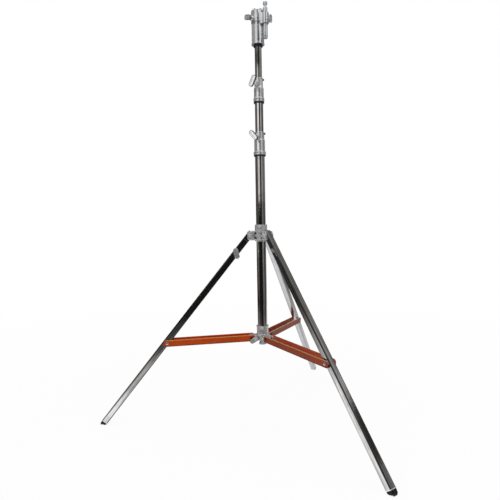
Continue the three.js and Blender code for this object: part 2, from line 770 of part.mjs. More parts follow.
function braceChannel() {
  const length = braceLength + 2 * braceEndReach;
  const stock = extruded(channelSection(), length, 2);
  const lying = shifted(turned(stock, { x: Math.PI / 2, z: Math.PI / 2 }), -braceEndReach, 0, 0);
  const depth = bracePinToBack + bracePinToEdge;
  const side = plateXZ(roundedOutline(length, depth, braceEndCorner), -braceWidth, braceWidth, 3);
  const trim = shifted(side, braceLength / 2, 0, (bracePinToEdge - bracePinToBack) / 2);
  const innerClear = box(
    -braceWidth, braceBackStart, -braceInside, braceInside,
    channelBack - overrun, channelBack + braceSheet + braceBendRadius,
  );
  const slotDepth = braceSheet + braceBendRadius;
  const slotOutline = roundedOutline(length, 2 * slotHalfWidth, slotCorner);
  const slotBlock = extruded(slotOutline, slotDepth + overrun, cornerSteps);
  const slot = shifted(slotBlock, slotFrom + length / 2, 0, channelBack - overrun);
  const pinHoles = [0, braceLength].map((at) => shifted(
    rodY(rivetRadius + gap, -braceWidth, braceWidth, smallSteps), at, 0, 0,
  ));
  return cut(common(lying, trim), innerClear, slot, ...pinHoles);
}

// At the leg each side of the channel carries its own half rivet and a spacer that faces the leg
function legRivet(side) {
  const face = legWidth / 2 + runningGap;
  const shank = rodY(rivetRadius, face, rivetSeat + domeStep, smallSteps);
  const spacer = rodY(spacerRadius, face, braceInside - gap, roundSteps);
  const half = turned(joined(shank, spacer), { z: side > 0 ? 0 : Math.PI });
  return shifted(joined(half, rivetHead(side)), braceLength, 0, 0);
}

eachLeg((letter, azimuth) => {
  const ringPlace = new THREE.Group();
  ringPlace.rotation.z = azimuth;
  const tilted = new THREE.Group();
  tilted.position.set(braceInnerRadius, 0, braceInnerHeight);
  tilted.rotation.y = braceTilt;
  ringPlace.add(tilted);
  group.add(ringPlace);
  add(tilted, `brace_${letter}`, braceChannel(), letter === 'a' ? 'orangePaint' : 'brownPaint');
  add(tilted, `brace_${letter}_left_rivet`, legRivet(1), 'chrome');
  add(tilted, `brace_${letter}_right_rivet`, legRivet(-1), 'chrome');
});

// Head: the receiver socket on top of riser 2, its clamping handle, and the small spigot beside it.
// Heights are above the receiver's lower edge.
const receiverRingHeight = 8;
const receiverHeight = 116;
const receiverRadius = 22.25;
const skirtRadius = 23.6;
const skirtHeight = 7;
const headBandBottom = 75;
const headBandRadius = 23.5;
const socketRadius = 14.3;
const socketDepth = 84;
const socketFloor = 4;
const drainRadius = 8;
const receiverRingRadius = 16.4;
const notchWidth = 18;
const notchDepth = 15;
const notchFootShare = 0.3;
const frontAzimuth = 265 * degree;
const headScrewHeights = { upper: 85, lower: 68 };
const headHandleAzimuth = 206 * degree;
const headHandleHeight = 89;
const headHandleRadius = 40;
const headHandleTilt = 70 * degree;
const headBossRadius = 7.6;
const headBossReach = 29;

const receiverBottom = collarOne.bottom + collarOne.neckTop + riserTwoShown + receiverRingHeight;
const head = new THREE.Group();
head.position.z = receiverBottom;
group.add(head);

const riserSeat = receiverHeight - socketDepth - socketFloor;
const receiverShell = revolve([
  [skirtRadius, 0],
  [skirtRadius, chamfer],
  [receiverRadius, skirtHeight],
  [receiverRadius, headBandBottom - chamfer],
  [headBandRadius, headBandBottom],
  [headBandRadius, receiverHeight - chamfer],
  [headBandRadius - chamfer, receiverHeight],
  [socketRadius + chamfer, receiverHeight],
  [socketRadius, receiverHeight - chamfer],
  [socketRadius, receiverHeight - socketDepth],
  [drainRadius, receiverHeight - socketDepth],
  [drainRadius, riserSeat],
  [riserTwoRadius + gap, riserSeat],
  [riserTwoRadius + gap, 0],
], fineSteps);
const headBoss = radialRod(
  headBossRadius, socketRadius + tubeWall, headBossReach, headHandleAzimuth, headHandleHeight, roundSteps,
);
const headScrewHole = radialRod(
  screwRadius + gap, 0, headBossReach + overrun, headHandleAzimuth, headHandleHeight, roundSteps,
);
const notchFoot = notchWidth * notchFootShare;
const notchOutline = new THREE.Shape();
notchOutline.moveTo(-notchWidth / 2, overrun);
notchOutline.lineTo(-notchWidth / 2, 0);
notchOutline.lineTo(-notchFoot / 2, -notchDepth + notchFoot / 2);
notchOutline.absarc(0, -notchDepth + notchFoot / 2, notchFoot / 2, Math.PI, 2 * Math.PI, false);
notchOutline.lineTo(notchWidth / 2, 0);
notchOutline.lineTo(notchWidth / 2, overrun);
const notchBody = turned(extruded(notchOutline, headBandRadius, 4), { x: Math.PI / 2, z: Math.PI / 2 });
const notch = shifted(
  turned(shifted(notchBody, socketRadius - tubeWall, 0, 0), { z: frontAzimuth }), 0, 0, receiverHeight,
);
const headScrewHoles = Object.values(headScrewHeights).map((height) => radialRod(
  rimScrewRadius + gap, 0, headBandRadius + overrun, frontAzimuth, height, smallSteps,
));
add(head, 'receiver', cut(
  joined(receiverShell, headBoss), headScrewHole, notch, ...headScrewHoles,
), 'casting');

const riserTwoTop = receiverBottom + riserSeat - gap;
add(group, 'riser_2', columnTube(riserTwoRadius, riserTwoBottom, riserTwoTop), 'chrome');
add(head, 'receiver_ring', revolve([
  [receiverRingRadius - chamfer, -receiverRingHeight],
  [receiverRingRadius, -receiverRingHeight + chamfer],
  [receiverRingRadius, -gap],
  [riserTwoRadius + gap, -gap],
  [riserTwoRadius + gap, -receiverRingHeight],
], fineSteps), 'rubber');
Object.entries(headScrewHeights).forEach(([place, height]) => {
  const outside = height > headBandBottom ? headBandRadius : receiverRadius;
  const screw = socketScrew(
    rimScrewRadius, rimScrewHead, socketRadius + gap, outside + gap, outside + gap + rimScrewProud,
  );
  const placed = shifted(turned(screw, { z: frontAzimuth }), 0, 0, height);
  add(head, `receiver_${place}_screw`, placed, 'blackSteel');
});
const headTee = handle(largeBar, socketRadius + gap, headBossReach + gap, headHandleRadius, headHandleTilt);
const placedHeadTee = shifted(turned(headTee, { z: headHandleAzimuth }), 0, 0, headHandleHeight);
add(head, 'receiver_handle', placedHeadTee, 'chrome');

// Small spigot: a 5/8 inch pin with a groove under its head, held upright by a saddle bracket
const pinDiameter = 15.875;
const pinAzimuth = -40 * degree;
const pinCentreRadius = 33;
const pinBottom = 15;
const pinLength = 126;
const pinHeadHeight = 11;
const pinGrooveHeight = 6;
const pinGrooveRadius = 4.8;
const pinTailHeight = 6;
const pinTailRadius = 7.2;
const bracketBottom = 66;
const bracketTop = 103;
const bracketWall = 4;
const bracketRoot = 30;
const knobHeight = 78;
const knobReach = 50;
const knobBossRadius = 7;
const knobBossReach = 44.6;
const pinRadius = pinDiameter / 2;
const saddle = new THREE.Group();
saddle.rotation.z = pinAzimuth;
head.add(saddle);

const bracketEye = pinRadius + gap + bracketWall;
const bracketOutline = new THREE.Shape();
bracketOutline.moveTo(receiverRadius - bracketWall, -bracketRoot / 2);
bracketOutline.lineTo(pinCentreRadius - bracketWall, -bracketEye);
bracketOutline.lineTo(pinCentreRadius, -bracketEye);
bracketOutline.absarc(pinCentreRadius, 0, bracketEye, -Math.PI / 2, Math.PI / 2, false);
bracketOutline.lineTo(pinCentreRadius - bracketWall, bracketEye);
bracketOutline.lineTo(receiverRadius - bracketWall, bracketRoot / 2);
const bracketHeight = bracketTop - bracketBottom;
const bracketBlock = shifted(extruded(bracketOutline, bracketHeight, 6), 0, 0, bracketBottom);
const knobBossEnd = knobBossReach + bracketWall / 2;
const knobBoss = shifted(rodX(knobBossRadius, pinCentreRadius, knobBossEnd, roundSteps), 0, 0, knobHeight);
const pinBore = shifted(
  ring(0, pinRadius + gap, bracketBottom - overrun, bracketTop + overrun, fineSteps), pinCentreRadius, 0, 0,
);
const bandClear = ring(0, headBandRadius + gap, bracketBottom - overrun, bracketTop + overrun, fineSteps);
const knobHole = shifted(
  rodX(screwRadius + gap, pinCentreRadius, knobBossReach + bracketWall, roundSteps), 0, 0, knobHeight,
);
add(saddle, 'pin_bracket', cut(joined(bracketBlock, knobBoss), pinBore, bandClear, knobHole), 'casting');

const pinTop = pinBottom + pinLength;
add(saddle, 'small_pin', shifted(revolve([
  [0, pinBottom],
  [pinTailRadius - chamfer, pinBottom],
  [pinTailRadius, pinBottom + chamfer],
  [pinTailRadius, pinBottom + pinTailHeight],
  [pinRadius, pinBottom + pinTailHeight + chamfer],
  [pinRadius, pinTop - pinHeadHeight - pinGrooveHeight - chamfer],
  [pinGrooveRadius, pinTop - pinHeadHeight - pinGrooveHeight],
  [pinGrooveRadius, pinTop - pinHeadHeight],
  [pinRadius, pinTop - pinHeadHeight + chamfer],
  [pinRadius, pinTop - chamfer],
  [pinRadius - chamfer, pinTop],
  [0, pinTop],
], mediumSteps), pinCentreRadius, 0, 0), 'chrome');
const knob = handle(
  smallBar, pinCentreRadius + pinRadius + gap, knobBossEnd + gap,
  knobReach + smallBar.thickness / 2, 0,
);
add(saddle, 'pin_handle', shifted(knob, 0, 0, knobHeight), 'chrome');

// The origin goes to the middle of the footprint, on the floor
group.updateMatrixWorld(true);
const bounds = new THREE.Box3().setFromObject(group, true);
const middle = bounds.getCenter(new THREE.Vector3());
group.position.set(-middle.x, -middle.y, -bounds.min.z);

export default group;
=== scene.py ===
import bmesh
import bpy
import numpy as np
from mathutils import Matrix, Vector


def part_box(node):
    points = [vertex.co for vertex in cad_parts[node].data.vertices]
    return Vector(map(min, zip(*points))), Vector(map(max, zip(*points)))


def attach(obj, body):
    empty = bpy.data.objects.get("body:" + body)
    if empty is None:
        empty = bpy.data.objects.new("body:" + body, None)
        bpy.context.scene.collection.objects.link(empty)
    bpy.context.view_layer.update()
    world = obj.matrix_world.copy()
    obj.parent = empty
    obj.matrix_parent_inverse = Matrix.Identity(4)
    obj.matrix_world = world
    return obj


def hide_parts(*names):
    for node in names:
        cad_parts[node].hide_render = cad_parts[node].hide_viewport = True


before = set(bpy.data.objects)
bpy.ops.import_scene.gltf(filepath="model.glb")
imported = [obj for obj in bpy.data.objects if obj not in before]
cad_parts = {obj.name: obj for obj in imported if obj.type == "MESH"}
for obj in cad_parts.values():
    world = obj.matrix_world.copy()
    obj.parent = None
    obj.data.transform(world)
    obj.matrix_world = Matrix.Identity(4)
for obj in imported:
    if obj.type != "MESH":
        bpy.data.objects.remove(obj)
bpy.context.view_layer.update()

# Base tube: drawn steel tube with eased ends, polished and chrome plated. It carries the leg
# casting, the brace collar and both risers. Sizes are in millimetres from here on.
low, high = (np.array(corner) * 1000 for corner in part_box("base_column"))
column_x = (low[0] + high[0]) / 2
base_radius = 17.5
tube_wall = 1.2
tube_ease = 0.6


def eased(corners, reach, closed=True, bend=5):
    """Outline with rounded corners: corner P gives the curve (1-t)^2 A + 2t(1-t) P + t^2 B, where
    A and B lie `reach` back from P along its two sides, and never past the middle of a side. One
    more point beyond each of A and B keeps the long flat sides flat right up to their corners."""
    p = np.asarray(corners, float)
    back, ahead = np.roll(p, 1, 0) - p, np.roll(p, -1, 0) - p
    back_length, ahead_length = np.linalg.norm(back, axis=1), np.linalg.norm(ahead, axis=1)
    step = np.minimum(reach, 0.48 * np.minimum(back_length, ahead_length))
    if not closed:
        step[[0, -1]] = 0
    a = p + back * (step / back_length)[:, None]
    b = p + ahead * (step / ahead_length)[:, None]
    t = np.linspace(0, 1, bend)[:, None, None]
    curve = (1 - t) ** 2 * a + 2 * t * (1 - t) * p + t**2 * b
    before = p + back * (np.minimum(1.8 * step, 0.5 * back_length) / back_length)[:, None]
    after = p + ahead * (np.minimum(1.8 * step, 0.5 * ahead_length) / ahead_length)[:, None]
    curve = np.concatenate([before[None], curve, after[None]])
    return curve.transpose(1, 0, 2).reshape(-1, p.shape[1])


def skin(grid, rows_join=True, columns_join=True):
    """Points of a grid and the four-sided faces between neighbours, joined round where it closes."""
    rows, columns = grid.shape[:2]
    number = np.arange(rows * columns).reshape(rows, columns)
    if rows_join:
        number = np.vstack([number, number[:1]])
    if columns_join:
        number = np.hstack([number, number[:, :1]])
    around = [number[:-1, :-1], number[:-1, 1:], number[1:, 1:], number[1:, :-1]]
    return grid.reshape(-1, 3), np.stack(around, -1).reshape(-1, 4)


def turned(corners, ease, steps=96):
    """Turned body: profile point (r, h) at angle a lies at (r cos a, r sin a, h). A profile that
    starts on the axis is open there, and any other joins its last point to its first."""
    solid = corners[0][0] == 0
    r, h = eased(corners, ease, closed=not solid).T
    a = np.linspace(0, 2 * np.pi, steps, endpoint=False)
    x, y, z = np.outer(r, np.cos(a)), np.outer(r, np.sin(a)), np.outer(h, np.ones(steps))
    return skin(np.stack([x, y, z], -1), rows_join=not solid)


def placed(patch, about_x=0.0, about_y=0.0, about_z=0.0, shift=(0, 0, 0)):
    """A patch turned by degrees about X, then Y, then Z, and then shifted: p R^T + shift."""
    points, faces = patch
    for angle, (u, v) in ((about_x, (1, 2)), (about_y, (2, 0)), (about_z, (0, 1))):
        turn = np.eye(3)
        c, s = np.cos(np.radians(angle)), np.sin(np.radians(angle))
        turn[u, u], turn[u, v], turn[v, u], turn[v, v] = c, -s, s, c
        points = points @ turn.T
    return points + np.asarray(shift, float), faces


def make_piece(name, patches, finish, body, replaced=(), crease=34):
    """One object from patches of (points, faces) about the column's axis, in metres, with its
    doubles merged, its faces turned outwards and edges sharper than `crease` degrees kept crisp."""
    points = np.concatenate([p for p, _ in patches]) / 1000
    points[:, 0] += column_x / 1000
    starts = np.cumsum([0] + [len(p) for p, _ in patches[:-1]])
    faces = [face for (_, f), start in zip(patches, starts) for face in (f + start).tolist()]
    mesh = bpy.data.meshes.new(name)
    mesh.from_pydata(points.tolist(), [], faces)
    clean = bmesh.new()
    clean.from_mesh(mesh)
    bmesh.ops.remove_doubles(clean, verts=clean.verts, dist=1e-6)
    bmesh.ops.dissolve_degenerate(clean, edges=clean.edges, dist=1e-7)
    bmesh.ops.recalc_face_normals(clean, faces=clean.faces)
    clean.to_mesh(mesh)
    clean.free()
    mesh.shade_smooth()
    mesh.set_sharp_from_angle(angle=np.radians(crease))
    mesh.materials.append(finish)
    piece = bpy.data.objects.new(name, mesh)
    bpy.context.scene.collection.objects.link(piece)
    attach(piece, body)
    if replaced:
        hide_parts(*replaced)
    return piece


def wire(tree, node, values=(), feeds=()):
    """Set a shader node's constant inputs, and link what feeds the others."""
    for socket, value in dict(values).items():
        node.inputs[socket].default_value = value
    for socket, source in dict(feeds).items():
        tree.links.new(source, node.inputs[socket])


def add_node(tree, kind, values=(), feeds=(), **settings):
    """New shader node. Its settings come first, because they decide which inputs it has."""
    node = tree.nodes.new("ShaderNode" + kind)
    for setting, value in settings.items():
        setattr(node, setting, value)
    wire(tree, node, values, feeds)
    return node


def new_finish(name):
    """New material: itself, its node tree, its surface node and the place in the piece's frame."""
    finish = bpy.data.materials.new(name)
    finish.use_nodes = True
    tree = finish.node_tree
    place = add_node(tree, "TexCoord").outputs["Object"]
    return finish, tree, tree.nodes["Principled BSDF"], place


def noise(tree, place, scale, detail=2.0):
    """Cloudy pattern over a place, with clouds about 1 / scale metres across."""
    values = {"Scale": scale, "Detail": detail}
    return add_node(tree, "TexNoise", values, {"Vector": place}).outputs["Fac"]


def ranged(tree, pattern, low, high, to_low=0.0, to_high=1.0):
    """A pattern's range from low to high, carried over to another range and held at its ends."""
    values = {"From Min": low, "From Max": high, "To Min": to_low, "To Max": to_high}
    return add_node(tree, "MapRange", values, {"Value": pattern}).outputs["Result"]


def two_tones(tree, pattern, places, tones):
    """One tone that turns into another between two values of a pattern."""
    ramp = add_node(tree, "ValToRGB", feeds={"Fac": pattern})
    for element, place, tone in zip(ramp.color_ramp.elements, places, tones):
        element.position, element.color = place, (*tone, 1)
    return ramp.outputs["Color"]


def laid_over(tree, share, under, over):
    """A colour with another, which is a link or a plain tone, laid over it by a share."""
    mix = add_node(tree, "Mix", feeds={"Factor": share, "A": under}, data_type="RGBA")
    if isinstance(over, tuple):
        wire(tree, mix, values={"B": (*over, 1)})
    else:
        wire(tree, mix, feeds={"B": over})
    return mix.outputs["Result"]


def bumped(tree, pattern, strength, depth):
    """Direction of a surface that a pattern makes uneven, by a depth in metres."""
    values = {"Strength": strength, "Distance": depth}
    return add_node(tree, "Bump", values, {"Height": pattern}).outputs["Normal"]


def plated(name, tone, rough, stain=0.12, dent=0.02, dent_size=55.0, metal=1.0, stain_size=38.0,
           line_depth=0.0, corner_shade=0.0):
    """Plated metal: soft stains darken the tone, fine rub marks along the height dull the polish,
    and a faint waviness bends the reflection. A drawn square tube also has die lines, at the
    places in its attribute "drawn". Corners and rims, in the attribute "corner", get painted
    shade: the dark tone laid over them."""
    finish, tree, metal_skin, place = new_finish(name)
    along_height = add_node(tree, "Mapping", {"Scale": (1.0, 1.0, 0.06)}, {"Vector": place})
    rubs = noise(tree, along_height.outputs["Vector"], 900.0, 3.0)
    surface = two_tones(tree, noise(tree, place, stain_size, 5.0), (0.34, 0.62),
                        ([c * (1 - stain * 2) for c in tone], tone))
    # Dark tone for the die lines, and for the painted shade on corners and rims.
    darkening = (0.03, 0.03, 0.028)
    if corner_shade:
        line_place = add_node(tree, "Attribute", attribute_name="drawn").outputs["Vector"]
        lines = ranged(tree, noise(tree, line_place, 230.0, 3.0), 0.4, 0.56, line_depth, 0.0)
        # Painted shade: the corners and rims in the attribute "corner" get the dark tone laid over
        # them.
        corner = add_node(tree, "Attribute", attribute_name="corner").outputs["Fac"]
        corners = add_node(tree, "Math", {1: corner_shade}, {0: corner}, operation="MULTIPLY")
        for share in (lines, corners.outputs["Value"]):
            surface = laid_over(tree, share, surface, darkening)
    wire(tree, metal_skin, {"Metallic": metal}, {
        "Base Color": surface,
        "Roughness": ranged(tree, rubs, 0.35, 0.7, rough, rough * 1.9),
        "Normal": bumped(tree, noise(tree, place, dent_size), dent, 0.004)})
    return finish


def tube(radius, bottom, top):
    """Drawn tube of the common wall with both its ends eased."""
    inner = radius - tube_wall
    return turned([(radius, bottom), (radius, top), (inner, top), (inner, bottom)], tube_ease)


tube_chrome = plated("tube_chrome", (0.62, 0.61, 0.60), 0.07)
make_piece("base_tube", [tube(base_radius, low[2], high[2])], tube_chrome, "column",
           ["base_column"])

# Plug in the base tube's lower end: turned steel with a cone and a small foot disc below it.
# It is pressed in up to its flange, and is plated with the tube.
plug_low, plug_high = (np.array(corner) * 1000 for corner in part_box("column_plug"))
plug_flange = low[2] - 0.3
plug_neck = plug_flange - 4.5
plug_stop = plug_high[2] - 0.3
plug_profile = [(0, plug_low[2]), (14.3, plug_low[2]), (14.3, plug_low[2] + 2.5), (10.2, plug_neck - 6),
                (8.2, plug_neck), (base_radius, plug_neck), (base_radius, plug_flange),
                (16.0, plug_flange), (16.0, plug_stop - 1.2), (14.8, plug_stop), (0, plug_stop)]
cast_chrome = plated("cast_chrome", (0.75, 0.755, 0.77), 0.16, stain=0.2, dent=0.16, dent_size=190.0,
                     metal=0.56, stain_size=70.0)
make_piece("column_plug_turned", [turned(plug_profile, 0.7)], cast_chrome, "column",
           ["column_plug"])

# Leg casting: a die-cast ring round the base tube with a pair of webbed ears for each leg.
# It is shrunk on to the tube, tumbled smooth and chrome plated.
leg_azimuths = {"a": 180.0, "b": 300.0, "c": 60.0}
hinge_radius = 43.5
hinge_height = 685.0
ear_spacing = 11.5
ear_thickness = 4.4
casting_low, casting_high = (np.array(corner) * 1000 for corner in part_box("leg_casting"))
casting_foot, casting_top = casting_low[2], casting_high[2]
casting_profile = [(22.5, casting_foot), (22.5, casting_foot + 8), (21.1, casting_foot + 9.6),
                   (21.1, casting_top - 25), (22.5, casting_top - 23), (22.5, casting_top - 5.4),
                   (21.9, casting_top - 4.4), (22.5, casting_top - 3.4), (22.5, casting_top),
                   (base_radius + 0.3, casting_top), (base_radius + 0.3, casting_foot)]


def loft(outline, rows, capped=False):
    """Body carried up an outline: its point p with outward normal n lies at p - inset n, at height
    h, for each row (inset, h). A capped body ends in the outline's middle, any other joins up."""
    side = np.roll(outline, -1, 0) - np.roll(outline, 1, 0)
    normal = np.stack([side[:, 1], -side[:, 0]], -1)
    normal /= np.linalg.norm(normal, axis=1)[:, None]
    inset, height = np.asarray(rows, float).T
    flat = outline[None] - inset[:, None, None] * normal[None]
    levels = np.broadcast_to(height[:, None, None], flat.shape[:2] + (1,))
    grid = np.concatenate([flat, levels], -1)
    if capped:
        middle = np.append(outline.mean(0), 0.0)
        ends = [np.full((1,) + grid.shape[1:], middle) + (0, 0, h) for h in (height[0], height[-1])]
        grid = np.concatenate([ends[0], grid, ends[1]])
    return skin(grid, rows_join=not capped)


def ear_pair(outline, inner, outer, pocket, rim):
    """Two plates across Y from an outline in X and Z, each with a rim round a shallow pocket."""
    rows = eased([(rim + 4, inner), (0, inner), (0, outer), (rim, outer), (rim + 0.9, outer - pocket),
                  (rim + 4, outer - pocket)], 0.9, closed=False)
    plate = loft(outline, rows, capped=True)
    flipped = (plate[0] * (1, 1, -1), plate[1])
    return [placed(plate, about_x=90), placed(flipped, about_x=90)]


ear_outline = eased([(13.7, hinge_height - 18), (52.4, hinge_height - 18), (52.4, hinge_height + 16),
                     (13.7, hinge_height + 16)], [0.5, 13, 13, 0.5], bend=9)
ear_outside = ear_spacing + ear_thickness
ears = ear_pair(ear_outline, ear_spacing, ear_outside, 1.3, 2.4)
seat_disc = turned([(0, ear_spacing + 1), (9.0, ear_spacing + 1), (9.0, ear_outside), (0, ear_outside)],
                   0.5, steps=40)
ears += [placed(seat_disc, about_x=side, shift=(hinge_radius, 0, hinge_height)) for side in (90, -90)]
make_piece("leg_casting_ring",
           [turned(casting_profile, 0.9)]
           + [placed(ear, about_z=azimuth) for azimuth in leg_azimuths.values() for ear in ears],
           cast_chrome, "column", ["leg_casting"])

# Hinge bolts: one a leg through the casting's ears, with a domed hexagon head and a lock nut.
# They are zinc-plated steel and stay put while the leg turns on them.
bolt_zinc = plated("bolt_zinc", (0.88, 0.89, 0.91), 0.22, stain=0.15, dent=0.05, dent_size=240.0,
                   metal=0.6)
bolt_seat = ear_outside + 0.3
six = np.radians(np.arange(30, 390, 60))
hexagon = eased(7.0 * np.stack([np.cos(six), np.sin(six)], -1), 0.7, bend=4)
head_rows = [(3, bolt_seat), (0, bolt_seat), (0, bolt_seat + 3.4), (1.6, bolt_seat + 4.4)]
bolt_head = loft(hexagon, eased(head_rows, 0.6, closed=False), capped=True)
bolt_shank = turned([(0, -bolt_seat - 4.6), (3.2, -bolt_seat - 4.6), (4.0, -bolt_seat - 3.8),
                     (4.0, bolt_seat + 1), (0, bolt_seat + 1)], 0.3, steps=40)
bolt_nut = (bolt_head[0] * (1, 1, -0.98), bolt_head[1])
bolt = [placed(part, about_x=90, shift=(hinge_radius, 0, hinge_height))
        for part in (bolt_head, bolt_shank, bolt_nut)]
for letter, azimuth in leg_azimuths.items():
    make_piece(f"leg_{letter}_bolt", [placed(part, about_z=azimuth) for part in bolt], bolt_zinc,
               "column", [f"leg_{letter}_hinge_bolt"])

# Legs: square steel tube with rounded corners, chrome plated, with a bright ground band at the
# foot. Leg A is in two lengths: an inner bar on the hinge bolt, and an outer tube that slides on it.
leg_width = 22.2
leg_corner = 2.9
corner_blend = 0.6
foot_circle = 597.0
leg_lean = np.degrees(np.arctan2(foot_circle - hinge_radius, hinge_height))
leg_length = np.hypot(foot_circle - hinge_radius, hinge_height)
leg_tube_end = leg_length - 13.0
leg_head = 15.0
bar_step, bar_end = -22.0, -440.0
ground_band = 2.6
leg_half = leg_width / 2
leg_outline = eased([(-leg_half, -leg_half), (leg_half, -leg_half), (leg_half, leg_half),
                     (-leg_half, leg_half)], leg_corner, bend=8)
foot_bodies = {"a": "leg_a_tube", "b": "leg_b", "c": "leg_c"}


def leaning(patch, azimuth):
    """A leg's own frame, with its hinge at 0 and its foot along -Z, leaned out and turned round."""
    leant = placed(patch, about_y=-leg_lean, shift=(hinge_radius, 0, hinge_height))
    return placed(leant, about_z=azimuth)


def square_tube(bottom, top, wall=tube_wall, inset=0.0):
    """Rounded square tube between two heights, with eased ends."""
    rows = [(inset, bottom), (inset, top), (inset + wall, top), (inset + wall, bottom)]
    return loft(leg_outline, eased(rows, 0.5))


def spots_of(piece, height=0.0):
    """A piece's vertices in millimetres, from the column's axis at a height."""
    spots = np.empty(len(piece.data.vertices) * 3)
    piece.data.vertices.foreach_get("co", spots)
    return spots.reshape(-1, 3) * 1000 - (column_x, 0, height)


def mark(piece, label, amount, kind="FLOAT", field="value"):
    """Give a piece's vertices an attribute that its material reads."""
    layer = piece.data.attributes.new(label, kind, "POINT")
    layer.data.foreach_set(field, np.ravel(amount).astype(np.float32))


def mark_drawn(piece, azimuth):
    """Write a leg tube's die lines and its corners, which get painted shade: the lines' place is the
    leg's own frame, shrunk to 1/40 along its length, and a corner is where both sideways distances
    pass the flat faces."""
    upright = placed((spots_of(piece), None), about_z=-azimuth, shift=(-hinge_radius, 0, -hinge_height))
    own = placed(upright, about_y=leg_lean)[0]
    past_flat = np.abs(own[:, :2]).min(1) - leg_half + leg_corner
    mark(piece, "drawn", own * (1, 1, 1 / 40) / 1000, "FLOAT_VECTOR", "vector")
    mark(piece, "corner", np.clip(past_flat / corner_blend + 0.5, 0, 1))


# The legs' rounded corners get painted shade, less of it on leg C.
leg_chrome = plated("leg_chrome", (0.84, 0.83, 0.83), 0.08, stain=0.1, dent=0.03, line_depth=0.56,
                    corner_shade=0.9)
clean_chrome = plated("clean_chrome", (0.63, 0.635, 0.66), 0.1, stain=0.05, dent=0.03, line_depth=0.22,
                      corner_shade=0.35)
for letter, finish in (("b", leg_chrome), ("c", clean_chrome)):
    leg = make_piece(f"leg_{letter}_tube",
                     [leaning(square_tube(-leg_tube_end, leg_head), leg_azimuths[letter])],
                     finish, f"leg_{letter}", [f"leg_{letter}"])
    mark_drawn(leg, leg_azimuths[letter])
upper_rows = eased([(6, bar_step), (0, bar_step), (0, leg_head), (6, leg_head)], 0.5, closed=False)
upper_length = loft(leg_outline, upper_rows, capped=True)
inner_bar = square_tube(bar_end, bar_step + 1.5, wall=2.4, inset=tube_wall + 0.3)
outer_tube = square_tube(-leg_tube_end, bar_step - 0.3)
leg = make_piece("leg_a_bar", [leaning(part, leg_azimuths["a"]) for part in (upper_length, inner_bar)],
                 leg_chrome, "leg_a", ["leg_a_inner_bar"])
mark_drawn(leg, leg_azimuths["a"])
leg = make_piece("leg_a_outer_tube", [leaning(outer_tube, leg_azimuths["a"])], leg_chrome, "leg_a_tube",
                 ["leg_a_tube"])
mark_drawn(leg, leg_azimuths["a"])
ground_steel = plated("ground_steel", (0.92, 0.91, 0.94), 0.25, stain=0.05, dent=0.03, dent_size=300.0,
                      metal=0.75)
band = loft(leg_outline, eased([(-0.12, -leg_tube_end), (-0.12, ground_band - leg_tube_end),
                                (0.6, ground_band - leg_tube_end), (0.6, -leg_tube_end)], 0.25))
for letter, azimuth in leg_azimuths.items():
    make_piece(f"leg_{letter}_ground_band", [leaning(band, azimuth)], ground_steel, foot_bodies[letter])

# Feet: moulded rubber domes pushed into the leg tubes, with a mould rib round the shoulder. Each
# is worn flat where it stands on the floor.
foot_top, foot_end = -leg_tube_end - 0.3, -leg_length - 3.3
foot_spigot = foot_top + 30
foot_rows = eased([(9.5, foot_end), (6.6, foot_end + 0.5), (4.0, foot_end + 1.9), (2.0, foot_end + 4.2),
                   (0.9, foot_end + 7.2), (0.35, foot_top - 3.2), (0.6, foot_top - 2.8),
                   (0.6, foot_top - 2.2), (0.2, foot_top - 1.8), (0.2, foot_top), (1.95, foot_top),
                   (1.95, foot_spigot), (5, foot_spigot)], 1.0, closed=False)
rubber, tree, rubber_skin, place = new_finish("foot_rubber")
wire(tree, rubber_skin, {"Roughness": 0.6, "Specular IOR Level": 0.22}, {
    "Base Color": two_tones(tree, noise(tree, place, 90.0), (0.42, 0.75),
                            ((0.004, 0.004, 0.005), (0.020, 0.019, 0.020))),
    "Normal": bumped(tree, noise(tree, place, 1400.0), 0.25, 0.0003)})
for letter, azimuth in leg_azimuths.items():
    points, faces = leaning(loft(leg_outline, foot_rows, capped=True), azimuth)
    points[:, 2] = np.maximum(points[:, 2], 0)
    make_piece(f"leg_{letter}_rubber_foot", [(points, faces)], rubber, foot_bodies[letter],
               [f"leg_{letter}_foot"])

# T-handles: die-cast ovals with a raised rim round a dished face, on a waisted hub and a steel
# clamping screw. They are chrome plated and worn dull where they are handled most, and painted
# shade darkens their rim.
handle_chrome = plated("handle_chrome", (0.97, 0.97, 0.98), 0.08, stain=0.05, dent=0.05,
                       dent_size=160.0, metal=0.48, corner_shade=0.92)
worn_chrome = plated("worn_chrome", (0.70, 0.69, 0.69), 0.17, stain=0.2, dent=0.16, dent_size=190.0,
                     metal=0.66, corner_shade=0.65)
rim_width, rim_blend = 1.9, 0.6


def tee(length, width, thickness, tip, hub_start, reach):
    """A handle along X: a stadium-shaped bar across the end of a hub and its screw. The stadium's
    point at angle a is (s + r cos a, r sin a), with s the half length of its straight part."""
    a = np.linspace(-np.pi / 2, 1.5 * np.pi, 72, endpoint=False) + np.pi / 72
    radius, straight = width / 2, (length - width) / 2
    stadium = np.stack([radius * np.cos(a) + straight * np.sign(np.cos(a)), radius * np.sin(a)], -1)
    inner, outer = reach - thickness / 2, reach + thickness / 2
    rows = eased([(radius - 1.5, inner), (0, inner), (0, outer), (2.4, outer), (3.1, outer - 1.2),
                  (radius - 1, outer - 0.9)], 1.7, closed=False, bend=6)
    bar = placed(loft(stadium, rows, capped=True), about_y=90)
    hub = turned([(0, tip), (3.4, tip), (4.0, tip + 0.6), (4.0, hub_start), (6.4, hub_start),
                  (6.4, hub_start + 1.6), (4.8, (hub_start + reach) / 2), (6.6, inner), (6.6, reach),
                  (0, reach)], 0.5, steps=48)
    return [bar, placed(hub, about_y=90)]


def mounted(parts, tilt, azimuth, height):
    """Parts along X tilted about their own axis, then set round the column at a height."""
    return [placed(placed(part, about_x=tilt), about_z=azimuth, shift=(0, 0, height)) for part in parts]


